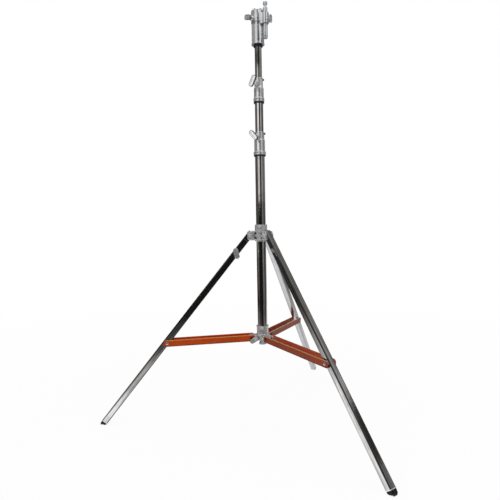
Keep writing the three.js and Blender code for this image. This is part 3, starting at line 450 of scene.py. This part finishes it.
def fit_tee(name, reaches, tilt, azimuth, height, finish, body, node, size=(41, 17, 8)):
    """Fit a handle to the column's axis at a height, and mark its rim, where the distance in from
    the stadium's edge is small: inset = r - sqrt(max(|z| - s, 0)^2 + y^2) in the handle's frame."""
    length, width, thickness = size
    parts = mounted(tee(*size, *reaches), tilt, azimuth, height)
    piece = make_piece(name, parts, finish, body, [node])
    facing = placed((spots_of(piece, height), None), about_z=-azimuth)
    x, y, z = placed(facing, about_x=-tilt)[0].T
    inset = width / 2 - np.hypot(np.maximum(np.abs(z) - (length - width) / 2, 0), y)
    on_bar = np.abs(x - reaches[2]) < thickness / 2 + 0.1
    # The rim marked here gets painted shade from the handle's finish.
    mark(piece, "corner", on_bar * np.clip((rim_width - inset) / rim_blend, 0, 1))


lock_turn, lock_drop = 52.0, -80.0
lock_boss_reach = 22.0
lock_handle = [placed(placed(part, about_x=lock_turn), about_z=90, shift=(0, 0, lock_drop))
               for part in tee(40, 18, 8, 9.4, lock_boss_reach + 0.3, 47)]
make_piece("leg_a_tee", [leaning(part, leg_azimuths["a"]) for part in lock_handle], worn_chrome,
           "leg_a_handle", ["leg_a_handle"])
lock_boss = turned([(0, leg_half + 0.3), (7.5, leg_half + 0.3), (6.8, leg_half + 3),
                    (7.1, lock_boss_reach), (0, lock_boss_reach)], 0.8, steps=48)
make_piece("leg_a_boss",
           [leaning(placed(lock_boss, about_x=-90, shift=(0, 0, lock_drop)), leg_azimuths["a"])],
           cast_chrome, "leg_a_tube", ["leg_a_lock_boss"])

# Brace collar: a cast ring that slides on the base tube, with a forked lug for each brace and a
# boss for its clamping handle. Plated like the leg casting.
pin_radius_out = 42.8
pin_height = 307.0
lug_radius = 8.5
slider_front = 236.0
slider_handle_height = pin_height + 1.7
slider_low, slider_high = (np.array(corner) * 1000 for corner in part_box("brace_collar"))
slider_top, slider_bottom = slider_high[2], slider_low[2]
slider_profile = [(23.0, slider_bottom), (23.0, pin_height + 12), (21.5, pin_height + 13.4),
                  (21.5, slider_top - 6.4), (22.8, slider_top - 5), (22.8, slider_top),
                  (base_radius + 0.3, slider_top), (base_radius + 0.3, slider_bottom)]
lug_turn = np.linspace(-np.pi / 2, np.pi / 2, 17)
lug_nose = np.stack([pin_radius_out + lug_radius * np.cos(lug_turn),
                     pin_height + lug_radius * np.sin(lug_turn)], -1)
lug_outline = np.concatenate([[(15.1, pin_height - lug_radius)], lug_nose,
                              [(15.1, pin_height + lug_radius)]])
lugs = ear_pair(lug_outline, 9.6, 15.6, 0.9, 1.8)
slider_boss = placed(turned([(0, 18.0), (9.6, 18.0), (8.5, 26), (8.5, 33), (0, 33)], 0.9, steps=48),
                     about_y=90)
make_piece("brace_slider",
           [turned(slider_profile, 0.8)]
           + [placed(lug, about_z=azimuth) for azimuth in leg_azimuths.values() for lug in lugs]
           + mounted([slider_boss], 0, slider_front, slider_handle_height),
           cast_chrome, "brace_collar", ["brace_collar"])
fit_tee("brace_slider_tee", (base_radius + 0.6, 33.3, 60), -57, slider_front, slider_handle_height,
        worn_chrome, "brace_collar_handle", "brace_collar_handle")

# Braces: sheet steel folded into a channel, open upwards, with rounded ends and a slot for the
# leg. They are sprayed in one paint: orange on the brace that faces the light, and a darker
# red-brown on the two that face away, as painted shade.
pin_along_leg, pin_inset = 495.5, 3.6
lean_x, lean_z = np.sin(np.radians(leg_lean)), np.cos(np.radians(leg_lean))
outer_pin = (hinge_radius + pin_along_leg * lean_x - pin_inset * lean_z,
             hinge_height - pin_along_leg * lean_z - pin_inset * lean_x)
brace_length = np.hypot(outer_pin[0] - pin_radius_out, outer_pin[1] - pin_height)
brace_tilt = np.degrees(np.arctan2(pin_height - outer_pin[1], outer_pin[0] - pin_radius_out))
brace_half = 18.0
brace_top, brace_back = 11.0, -13.0
brace_end, brace_round = 13.0, 8.5
sheet, fold = 2.0, 2.6
back_from, back_half = 14.0, 15.85
slot_from, slot_half = 230.12, 11.5


def folded_channel():
    """Folded sheet: the section's outside runs down one flange, round a bend, across the back and
    up the other, the inside lies one sheet in, and each flange's edge is rounded. Each point runs
    along X between its own two ends, which follow the rounded ends and the slot."""
    bend = np.linspace(0, np.pi / 2, 7)
    rise = np.linspace(brace_top, brace_back + fold, 12)
    near = np.stack([np.full(12, brace_half), rise], -1)
    turn = (brace_half - fold, brace_back + fold) + fold * np.stack([np.cos(bend), -np.sin(bend)], -1)
    back_y = [15.0, 13.5, slot_half + 0.1, slot_half, 10.6, slot_half - fold, 0.0]
    back = np.stack([back_y, np.full(7, brace_back)], -1)
    outside = np.concatenate([near, turn[1:], back])
    outside = np.concatenate([outside, (outside[:-1] * (-1, 1))[::-1]])
    side = np.gradient(outside, axis=0)
    normal = np.stack([-side[:, 1], side[:, 0]], -1)
    normal /= np.linalg.norm(normal, axis=1)[:, None]
    inside = outside - sheet * normal
    edge = np.array([[brace_half - sheet / 2, brace_top + 0.45]])
    y, z = np.concatenate([outside, edge * (-1, 1), inside[::-1], edge]).T
    deep = np.clip(np.maximum(brace_back - z, z - brace_top) + brace_round, 0, brace_round)
    curve = brace_round - np.sqrt(brace_round**2 - deep**2)
    on_back = np.abs(y) < back_half
    in_slot = np.abs(y) < slot_half + 0.05
    slot_deep = np.maximum(np.abs(y) - (slot_half - fold), 0)
    slot_curve = fold - np.sqrt(np.maximum(fold**2 - slot_deep**2, 0))
    start = np.where(on_back, back_from, curve - brace_end)
    stop = np.where(in_slot, slot_from + slot_curve, brace_length + brace_end - curve)
    along = np.array([0, 0.004, 0.25, 0.5, 0.75, 0.996, 1.0])[:, None]
    x = start + (stop - start) * along
    grid = np.stack([x, np.broadcast_to(y, x.shape), np.broadcast_to(z, x.shape)], -1)
    points, faces = skin(grid, rows_join=False)
    count, total = len(outside), len(y)
    first = np.arange(count - 1)
    partner = total - 2 - first
    end_faces = np.stack([first, first + 1, partner - 1, partner], -1)
    tip_faces = np.array([(count - 1, count, count + 1, count + 1),
                          (0, total - 1, total - 2, total - 2)])
    far = total * (len(along) - 1)
    return points, np.concatenate([faces, end_faces, end_faces + far, tip_faces, tip_faces + far])


def painted(name, body_tone, lit_inside_tone, edge_tone):
    """Sprayed enamel: the tone drifts along the brace and fine spray grain roughens it. Inside the
    channel a lighter tone is painted light against the shade there. Along the upper edges a paler
    tone, broken up like chipped wear, is a painted highlight, and round the lower bends a darker
    tone is painted shade. Attributes on the brace say where."""
    finish, tree, coat, place = new_finish(name)
    drift, grain, chips = (noise(tree, place, scale, detail)
                           for scale, detail in ((22.0, 4.0), (1100.0, 2.0), (420.0, 6.0)))
    inside, edge, darkening = (add_node(tree, "Attribute", attribute_name=label).outputs["Fac"]
                           for label in ("inside", "edge", "darkening"))
    # The lighter tone inside the channel is painted light.
    outer, inner = (two_tones(tree, drift, (0.32, 0.68), (0.86 * tone, 1.14 * tone))
                    for tone in (np.array(body_tone), np.array(lit_inside_tone)))
    # Painted shade round the lower bends, laid over the painted light inside.
    bend_shade_tone = tuple(c * 0.36 + 0.003 for c in body_tone)
    lit_and_shaded = laid_over(tree, darkening, laid_over(tree, inside, outer, inner), bend_shade_tone)
    # Painted highlight along the upper edges, broken into chips.
    edge_sheen_and_chips = add_node(tree, "Math", {1: 0.55}, {0: chips, 2: edge}, operation="MULTIPLY_ADD")
    edge_sheen_share = ranged(tree, edge_sheen_and_chips.outputs["Value"], 0.85, 1.2)
    wire(tree, coat, {"Roughness": 0.42, "Specular IOR Level": 0.08}, {
        "Base Color": laid_over(tree, edge_sheen_share, lit_and_shaded, edge_tone),
        "Normal": bumped(tree, grain, 0.12, 0.0002)})
    return finish


# One enamel: a lit copy on brace a and copies with painted shade on braces b and c.
brace_paints = {
    "a": painted("lit_orange_enamel", (0.41, 0.050, 0.005), (0.50, 0.045, 0.005), (0.50, 0.26, 0.10)),
    "b": painted("shaded_brown_enamel", (0.25, 0.050, 0.022), (0.46, 0.110, 0.050), (0.52, 0.23, 0.13)),
    "c": painted("shaded_dull_enamel", (0.25, 0.070, 0.042), (0.36, 0.080, 0.040), (0.50, 0.34, 0.25)),
}
pale_edge_from, bend_shade_to, paint_blend = brace_top - 3.6, brace_back + 4.4, 2.0
channel = placed(folded_channel(), about_y=brace_tilt, shift=(pin_radius_out, 0, pin_height))
for letter, azimuth in leg_azimuths.items():
    brace = make_piece(f"brace_{letter}_channel", [placed(channel, about_z=azimuth)],
                       brace_paints[letter], f"brace_{letter}",
                       [f"brace_{letter}"],
                       crease=50)
    own = placed((spots_of(brace, pin_height), None), about_z=-azimuth)[0] - (pin_radius_out, 0, 0)
    _, across, above = placed((own, None), about_y=-brace_tilt)[0].T
    # Where the painted light inside, the painted highlight on the upper edges and the painted shade
    # round the lower bends go.
    inside = (np.abs(across) < brace_half - 0.6 * sheet) & (above > brace_back + 0.6 * sheet)
    mark(brace, "inside", inside)
    mark(brace, "edge", ~inside * np.clip((above - pale_edge_from) / paint_blend, 0, 1))
    mark(brace, "darkening", ~inside * np.clip((bend_shade_to - above) / paint_blend, 0, 1))

# Brace pins and rivets: blued pins at the collar and plated rivets at the leg, all headed over
# outside the channel, with a spacer each side that keeps the leg in the middle of its brace.
blued_steel = plated("blued_steel", (0.025, 0.025, 0.029), 0.35, stain=0.25, dent=0.05, dent_size=240.0,
                     metal=0.3)
rivet_steel = plated("rivet_steel", (0.52, 0.52, 0.56), 0.2, stain=0.25, dent=0.1, dent_size=300.0,
                     metal=0.85)
spacer_zinc = plated("spacer_zinc", (0.88, 0.88, 0.88), 0.2, stain=0.12, dent=0.05, dent_size=300.0,
                     metal=0.5)
rivet_seat = brace_half + 0.3
rivet_radius, shank_radius = 5.6, 3
spacer_radius, spacer_start, spacer_stop = 9.0, 11.5, 15.7
dome = np.linspace(0, np.pi / 2, 6)[:-1]
dome_profile = [(rivet_radius * np.cos(a), rivet_seat + 0.6 + 1.8 * np.sin(a)) for a in dome]
rivet_head = turned([(0, rivet_seat), (rivet_radius, rivet_seat), *dome_profile, (0, rivet_seat + 2.4)],
                    0.2, steps=36)


def pin_length(radius, start, stop, ease=0.2, steps=32):
    """Plain round pin between two distances from the brace's middle."""
    return turned([(0, start), (radius, start), (radius, stop), (0, stop)], ease, steps)


pin_shank = pin_length(shank_radius, -rivet_seat - 1, rivet_seat + 1)
half_shank = pin_length(shank_radius, spacer_start, rivet_seat + 1)
spacer = pin_length(spacer_radius, spacer_start, spacer_stop, 0.5, 40)


def at_pin(part, along, flip, azimuth):
    """A part along Z turned to lie across a brace, at a distance along it from its inner pin."""
    lying = placed(part, about_x=90 if flip else -90, shift=(along, 0, 0))
    on_brace = placed(lying, about_y=brace_tilt, shift=(pin_radius_out, 0, pin_height))
    return placed(on_brace, about_z=azimuth)


for letter, azimuth in leg_azimuths.items():
    pin = [at_pin(part, 0, flip, azimuth)
           for part, flip in ((rivet_head, True), (rivet_head, False), (pin_shank, False))]
    make_piece(f"brace_{letter}_inner_pin", pin, blued_steel, "brace_collar",
               [f"brace_{letter}_collar_pin"])
    for side, flip in (("left", False), ("right", True)):
        rivet = [at_pin(part, brace_length, flip, azimuth) for part in (rivet_head, half_shank)]
        make_piece(f"brace_{letter}_{side}_leg_rivet", rivet, rivet_steel, f"brace_{letter}",
                   [f"brace_{letter}_{side}_rivet"])
        make_piece(f"brace_{letter}_{side}_spacer", [at_pin(spacer, brace_length, flip, azimuth)],
                   spacer_zinc, f"brace_{letter}")

# Clamp collars: castings pressed on the top of the base tube and of riser 1, each with a stepped
# rim, a body and a narrower neck, a boss for its handle, a blacked set-screw and a black ring.
black_ring = plated("black_ring", (0.012, 0.012, 0.014), 0.38, stain=0.2, dent=0.05, dent_size=500.0,
                    metal=0.0)
collar_shapes = {
    "collar_2": dict(body="column", bore=17.8, neck_bore=15.3, wall=1.6, rim_step=3.0, rim=11.0,
                     shoulder=52.5, neck=81.5, neck_wall=2.0, ring=5.0, handle=64.0, tilt=40.0),
    "collar_1": dict(body="riser_1", bore=15.3, neck_bore=12.8, wall=2.3, rim_step=2.0, rim=12.0,
                     shoulder=48.0, neck=83.0, neck_wall=2.4, ring=5.7, handle=62.0, tilt=-26.0),
}
collar_front, set_screw_azimuth = 240.0, 247.0
collar_chrome = plated("collar_chrome", (0.90, 0.91, 0.93), 0.09, stain=0.09, dent=0.04,
                       dent_size=150.0, metal=0.8)
socket_black = plated("socket_black", (0.008, 0.008, 0.009), 0.7, stain=0.2, dent=0.05,
                      dent_size=500.0, metal=0.0)
for name, c in collar_shapes.items():
    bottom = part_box(name)[0].z * 1000
    bore, neck_bore, rim = c["bore"], c["neck_bore"], c["rim"]
    shoulder, neck, handle_height = c["shoulder"], c["neck"], bottom + c["handle"]
    body_radius, neck_radius = bore + c["wall"], neck_bore + c["neck_wall"]
    rim_radius = body_radius + c["rim_step"]
    shell = turned([(rim_radius, 0), (rim_radius, rim), (body_radius, rim + 1.6),
                    (body_radius, shoulder), (neck_radius + 0.6, shoulder + 2.4),
                    (neck_radius, shoulder + 9), (neck_radius, neck - 4), (neck_radius + 0.5, neck - 3),
                    (neck_radius + 0.5, neck), (neck_bore, neck), (neck_bore, shoulder - 5),
                    (bore, shoulder - 5), (bore, 0)], 1.1)
    boss = placed(turned([(0, neck_bore + 1.4), (10.4, neck_bore + 1.4), (8.6, neck_radius + 3.5),
                          (8.2, 27), (7.4, 28), (0, 28)], 0.9, steps=56), about_y=90)
    make_piece(f"{name}_casting",
               [placed(shell, shift=(0, 0, bottom))] + mounted([boss], 0, collar_front, handle_height),
               collar_chrome, c["body"], [name])
    under = turned([(rim_radius - 1.2, -c["ring"]), (rim_radius - 0.6, -c["ring"] / 2),
                    (rim_radius - 1.0, -0.3), (bore, -0.3), (bore, -c["ring"])], 0.7)
    make_piece(f"{name}_black_ring", [placed(under, shift=(0, 0, bottom))], black_ring, c["body"],
               [f"{name}_ring"])
    set_screw = placed(turned([(0, rim_radius - 2), (2.8, rim_radius - 2), (2.8, rim_radius + 0.7),
                               (1.6, rim_radius + 0.9), (1.4, rim_radius - 0.8), (0, rim_radius - 0.8)],
                              0.2, steps=32), about_y=90)
    make_piece(f"{name}_set_screw", mounted([set_screw], 0, set_screw_azimuth, bottom + 0.6 * rim),
               socket_black, c["body"], [f"{name}_rim_screw"])
    fit_tee(f"{name}_tee", (neck_bore + 3.7, 28.3, 50), c["tilt"], collar_front, handle_height,
            handle_chrome, f"{name}_handle", f"{name}_handle")

# Risers: drawn tubes that slide in the tube below, plated like the base tube, the lower one
# brighter and the upper one darker. Each runs on a nylon guide at its lower end.
lower_chrome = plated("lower_riser_chrome", (0.84, 0.825, 0.835), 0.05, stain=0.08)
upper_chrome = plated("upper_riser_chrome", (0.60, 0.585, 0.57), 0.05)
for name, radius, finish in (("riser_1", 15.0, lower_chrome), ("riser_2", 12.5, upper_chrome)):
    riser_low, riser_high = (np.array(corner) * 1000 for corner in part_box(name))
    make_piece(f"{name}_tube", [tube(radius, riser_low[2], riser_high[2])], finish, name,
               [name])

# Receiver: a turned and cast socket for large spigots with a flared skirt, a band round its head
# and a rim notched in front and raised at the back, clamped by a T-handle in a boss.
head_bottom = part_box("receiver")[0].z * 1000
receiver_height, socket_radius = 116.0, 14.3
head_side, head_handle_height = 206.0, head_bottom + 89
notch_azimuth, notch_depth, notch_foot, notch_mouth = 265.0, 15.0, 2.7, 9.0
back_from_notch, back_blend, back_rise = 86.0, 44.0, 17.0
receiver_profile = [(23.6, 0), (23.6, 1.6), (22.3, 7.5), (22.0, 70), (22.25, 73.4), (23.5, 75.2),
                    (23.5, receiver_height), (socket_radius, receiver_height), (socket_radius, 32),
                    (8, 32), (8, 28), (12.8, 28), (12.8, 0)]


def receiver_shell(steps=240):
    """The turned body with its rim cut down to the notch: heights above it at angle a come down to
    the notch's edge, a V with a rounded foot. At the back the rim rises by half a wave."""
    r, h = eased(receiver_profile, 0.9).T
    a = np.linspace(0, 2 * np.pi, steps, endpoint=False)
    off = np.abs((np.degrees(a) - notch_azimuth + 180) % 360 - 180)
    wide = np.radians(off)[None] * np.maximum(r, 18)[:, None]
    slope = np.clip((wide - notch_foot) / (notch_mouth - notch_foot), 0, 1)
    in_notch = (off[None] < 40) & (r[:, None] > 10)
    lowered = np.minimum(h[:, None], receiver_height - in_notch * notch_depth * (1 - slope))
    wave = np.pi * np.clip((off - back_from_notch) / back_blend, 0, 1)
    rise = back_rise / 2 * (1 - np.cos(wave))
    height = lowered + np.where(h[:, None] > receiver_height - 1, rise[None], 0)
    return skin(np.stack([np.outer(r, np.cos(a)), np.outer(r, np.sin(a)), height], -1))


head_boss = placed(turned([(0, 16), (9.4, 16), (8.2, 26), (7.6, 29), (0, 29)], 0.8, steps=56),
                   about_y=90)
head_chrome = plated("head_chrome", (0.81, 0.84, 0.87), 0.07, stain=0.08, dent=0.02, dent_size=120.0,
                     metal=0.9)
make_piece("receiver_socket", [placed(receiver_shell(), shift=(0, 0, head_bottom))]
           + mounted([head_boss], 0, head_side, head_handle_height), head_chrome, "riser_2",
           ["receiver"])
fit_tee("receiver_tee", (14.6, 29.3, 40), 70, head_side, head_handle_height, worn_chrome,
        "receiver_handle", "receiver_handle")
head_ring = turned([(15.4, -8), (16.4, -6.6), (16.4, -0.3), (12.8, -0.3), (12.8, -8)], 0.6)
make_piece("receiver_black_ring", [placed(head_ring, shift=(0, 0, head_bottom))], black_ring, "riser_2",
           ["receiver_ring"])

# Small spigot: a 5/8 inch steel pin with a groove under its head, held in a cast saddle bracket
# beside the receiver and clamped by a small T-handle.
pin_azimuth = -40.0
pin_out = 33.0
pin_radius = 7.9375
knob_height = 78.0
bracket_bottom, bracket_top = 66, 103
bracket_bore, bracket_nose, bracket_root = 8.24, 12.24, 23.85
pin_profile = [(0, 15), (6.6, 15), (7.2, 15.8), (7.2, 21), (pin_radius, 22.2), (pin_radius, 119),
               (6.6, 122), (4.8, 124.4), (4.8, 129.6), (6.8, 130), (7.8, 131.4), (7.8, 139.4),
               (6.6, 141), (0, 141)]


def beside(part):
    """A part built about the small spigot's own axis, set beside the receiver."""
    return placed(placed(part, shift=(pin_out, 0, head_bottom)), about_z=pin_azimuth)


make_piece("small_spigot", [beside(turned(pin_profile, 0.6))], head_chrome, "small_pin",
           ["small_pin"])


def saddle_bracket(bottom, top, steps=96):
    """Block round the spigot's bore: at angle a its outside lies at the outline's distance R(a),
    found along the outline's own angle, and its bore at b, both between a bottom and a top."""
    curve = np.radians(np.linspace(-38, 38, 9))
    root = bracket_root * np.stack([np.cos(curve), np.sin(curve)], -1)[::-1] - (pin_out, 0)
    nose = np.radians(np.linspace(-90, 90, 25))
    tip = bracket_nose * np.stack([np.cos(nose), np.sin(nose)], -1)
    outline = np.concatenate([[(-4.0, -bracket_nose)], tip, [(-4.0, bracket_nose)], root])
    ahead = np.roll(outline, -1, 0) - outline
    fine = np.concatenate([outline + ahead * t for t in np.linspace(0, 1, 12, False)])
    angle = np.arctan2(fine[:, 1], fine[:, 0])
    order = np.argsort(angle)
    a = np.linspace(-np.pi, np.pi, steps, endpoint=False)
    outside = np.interp(a, angle[order], np.hypot(*fine[order].T), period=2 * np.pi)
    share, height = eased([(1, bottom), (1, top), (0, top), (0, bottom)], 0.12, bend=4).T
    radius = bracket_bore + share[:, None] * (outside - bracket_bore)[None]
    grid = np.stack([radius * np.cos(a), radius * np.sin(a), np.outer(height, np.ones(steps))], -1)
    return skin(grid)


knob_boss = placed(turned([(0, 9), (7.8, 9), (7.0, 12.6), (7.0, 13.6), (0, 13.6)], 0.5, steps=48),
                   about_y=90, shift=(0, 0, knob_height))
make_piece("spigot_bracket", [beside(saddle_bracket(bracket_bottom, bracket_top)), beside(knob_boss)],
           head_chrome, "riser_2", ["pin_bracket"])
knob = [beside(placed(part, shift=(-pin_out, 0, knob_height)))
        for part in tee(28, 15, 7.5, 41.24, 46.9, 53.75)]
make_piece("spigot_tee", knob, head_chrome, "pin_handle", ["pin_handle"])

# Small fasteners and guides: socket screws of blued steel, brass brake pads under the handles'
# screws, and nylon guides inside the tubes. These keep their turned solids.
brass = plated("brake_brass", (0.62, 0.42, 0.16), 0.28, stain=0.2, dent=0.05)
nylon = plated("guide_nylon", (0.72, 0.71, 0.66), 0.5, stain=0.08, dent=0.04, metal=0.0)
plain_finishes = {"screw": blued_steel, "pad": brass, "bushing": nylon}
for name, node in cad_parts.items():
    for ending, finish in plain_finishes.items():
        if name.endswith(ending):
            node.data.materials.clear()
            node.data.materials.append(finish)

# Studio: a white floor that keeps the stand's shadow, a white surround, three soft lamps, curved
# cards that glow for the chrome to mirror though the camera doesn't see them, and the camera
# where the photograph was taken.
floor_half = 9
floor_corners = [(x * floor_half, y * floor_half, 0) for x, y in ((-1, -1), (1, -1), (1, 1), (-1, 1))]
floor_mesh = bpy.data.meshes.new("studio_floor")
floor_mesh.from_pydata(floor_corners, [], [(0, 1, 2, 3)])
floor = bpy.data.objects.new("studio_floor", floor_mesh)
bpy.context.scene.collection.objects.link(floor)


def seen_directly(tree):
    """1 where a camera, glossy or transmission ray arrives, and 0 for the light that surfaces get."""
    path = add_node(tree, "LightPath").outputs
    both = add_node(tree, "Math", feeds={0: path["Is Camera Ray"], 1: path["Is Glossy Ray"]},
                    operation="ADD").outputs["Value"]
    each = add_node(tree, "Math", feeds={0: both, 1: path["Is Transmission Ray"]}, operation="ADD",
                    use_clamp=True)
    return each.outputs["Value"]


paper, tree, plain_skin, place = new_finish("studio_paper")
tree.nodes.remove(plain_skin)
away = add_node(tree, "VectorMath", feeds={0: place}, operation="LENGTH").outputs["Value"]
paler = ranged(tree, away, 0.7, 2.6, 0.93, 1.0)
seen = add_node(tree, "Math", feeds={0: seen_directly(tree), 1: paler}, operation="MULTIPLY")
matt = add_node(tree, "BsdfDiffuse", {"Color": (0.88, 0.88, 0.88, 1)}).outputs["BSDF"]
bright = add_node(tree, "Emission").outputs["Emission"]
paper_mix = add_node(tree, "MixShader", feeds={"Fac": seen.outputs["Value"], 1: matt, 2: bright})
wire(tree, tree.nodes["Material Output"], feeds={"Surface": paper_mix.outputs["Shader"]})
floor_mesh.materials.append(paper)

world = bpy.data.worlds.new("studio_surround")
bpy.context.scene.world = world
world.use_nodes = True
tree = world.node_tree
ambient = tree.nodes["Background"]
wire(tree, ambient, {"Color": (1, 1, 1, 1), "Strength": 0.62})
white = add_node(tree, "Background", {"Color": (1, 1, 1, 1)}).outputs["Background"]
world_mix = add_node(tree, "MixShader",
                     feeds={"Fac": seen_directly(tree), 1: ambient.outputs["Background"], 2: white})
wire(tree, tree.nodes["World Output"], feeds={"Surface": world_mix.outputs["Shader"]})

# Cards' finish: each glows with the tone in its colour attribute, seen only in reflections.
card_glow_finish = bpy.data.materials.new("card_glow")
card_glow_finish.use_nodes = True
tree = card_glow_finish.node_tree
tree.nodes.remove(tree.nodes["Principled BSDF"])
glow_tone = add_node(tree, "Attribute", attribute_name="glow_tone").outputs["Color"]
glow = add_node(tree, "Emission", feeds={"Color": glow_tone}).outputs["Emission"]
wire(tree, tree.nodes["Material Output"], feeds={"Surface": glow})


def studio_card(name, first, last, stations, steps=18):
    """Curved card about the column, from one angle to another, measured from the front towards the
    right: angle a lies at (d sin a, -d cos a). Its stations (distance and height in metres, tone)
    run out over the floor and up the wall, and the tone fades from each to the next. The card
    glows in its tone. The camera doesn't see it, nor does the light that surfaces get: it is there
    for the chrome to mirror, as a dark flag or a bright strip."""
    a = np.radians(np.linspace(first, last, steps))
    turn = np.stack([np.sin(a), -np.cos(a), np.zeros(steps)], -1)
    distance, height, tone = np.array(stations).T
    grid = distance[:, None, None] * turn + np.array([column_x / 1000, 0, 0])
    grid[..., 2] = height[:, None]
    points, faces = skin(grid, False, False)
    mesh = bpy.data.meshes.new(name)
    mesh.from_pydata(points.tolist(), [], faces.tolist())
    card = bpy.data.objects.new(name, mesh)
    colour = np.repeat(tone, steps)[:, None] * (1.0, 0.985, 0.955, 0) + (0, 0, 0, 1)
    mark(card, "glow_tone", colour, "FLOAT_COLOR", "color")
    mesh.materials.append(card_glow_finish)
    bpy.context.scene.collection.objects.link(card)
    card.visible_camera = card.visible_diffuse = card.visible_shadow = card.visible_transmission = False


card_foot, card_head = 0.002, 5.2
wall_distance = 3.2


def floor_run(*stations):
    """Stations out over the floor, each a distance and a tone, just above the paper."""
    return [(distance, card_foot, tone) for distance, tone in stations]


def wall_run(*stations):
    """Stations up the wall, each a height and a tone."""
    return [(wall_distance, height, tone) for height, tone in stations]


def wall_bands(low, middle, high, top, high_foot=2.36, top_foot=2.57):
    """Stations up the wall: four bands of even tone, one above the other."""
    heights = np.repeat((card_foot, 0.95, high_foot, top_foot, card_head), 2)[1:-1]
    return wall_run(*zip(heights, np.repeat((low, middle, high, top), 2)))


floor_front = floor_run((0.64, 0.62), (0.85, 0.5), (1.05, 0.12), (1.6, 0.05), (2.1, 0.012))
floor_centre = floor_run((0.64, 0.6), (1.0, 0.2), (1.3, 0.012))
floor_left = floor_run((0.64, 0.7), (1.1, 0.46), (1.6, 0.155), (2.3, 0.02))
floor_right = floor_run((0.64, 0.7), (1.3, 0.3), (1.75, 0.13))
floor_side = floor_run((0.64, 0.7), (1.3, 0.2), (1.75, 0.055))
floor_back = floor_run((0.64, 0.8), (1.3, 0.75), (1.8, 0.6), (2.4, 0.4))
wall_side = wall_run((card_foot, 0.055), (0.95, 0.055), (0.95, 0.2), (1.45, 0.2), (1.52, 0.03),
                     (2.06, 0.03), (2.18, 0.4), (2.7, 0.36), (3.2, 0.24), (3.6, 0.17),
                     (card_head, 0.17))
studio_card("card_left_back", -180, -105, floor_left + wall_bands(0.03, 0.11, 0.11, 0.3))
studio_card("card_left", -105, -60, floor_left + wall_bands(0.11, 0.11, 0.11, 0.3))
studio_card("card_window", -60, -14, floor_front + wall_bands(0.012, 0.85, 0.12, 0.75))
studio_card("card_front", -14, 14, floor_centre + wall_bands(0.012, 0.055, 0.006, 0.2, 1.45, 2.74))
studio_card("card_front_right", 14, 24,
            floor_centre + wall_bands(0.012, 0.055, 0.05, 0.3, top_foot=2.74))
studio_card("card_right_window", 24, 52, floor_right + wall_bands(0.2, 0.42, 0.2, 0.9))
studio_card("card_right", 52, 66, floor_right + wall_bands(0.2, 0.2, 0.2, 0.3))
studio_card("card_right_side", 66, 104, floor_side + wall_side)
studio_card("card_right_back", 104, 180, floor_back + wall_bands(0.2, 0.2, 0.2, 0.2))

lamps = (("key_lamp", (-1.7, -2.3, 2.9), 1.8, 34.0), ("fill_lamp", (2.6, -1.6, 1.8), 1.6, 12.0),
         ("top_lamp", (0.2, 0.4, 3.6), 1.6, 16.0))
lamp_aim = Vector((column_x / 1000, 0, 0.7))
for name, spot, size, power in lamps:
    lamp = bpy.data.lights.new(name, "AREA")
    lamp.size, lamp.energy = size, power
    holder = bpy.data.objects.new(name, lamp)
    holder.location = spot
    holder.rotation_mode = "QUATERNION"
    holder.rotation_quaternion = (lamp_aim - Vector(spot)).to_track_quat("-Z", "Y")
    holder.visible_glossy = False
    bpy.context.scene.collection.objects.link(holder)

camera = bpy.data.objects.new("photo_camera", bpy.data.cameras.new("photo_camera"))
bpy.context.scene.collection.objects.link(camera)
camera.data.sensor_width = 36.0
camera.data.lens = 32.34
camera_right = (0.99777349, -0.06428465, -0.01776371)
camera_up = (0.02187274, 0.06379076, 0.99772357)
camera_ahead = (0.06300515, 0.99589067, -0.06505481)
camera_place = (column_x / 1000 - 0.1460647, -1.64633, 0.7387)
pose = np.eye(4)
pose[:3, 0], pose[:3, 1], pose[:3, 2] = camera_right, camera_up, np.negative(camera_ahead)
pose[:3, 3] = camera_place
camera.matrix_world = pose.T
bpy.context.scene.camera = camera
bpy.context.scene.view_settings.view_transform = "Standard"
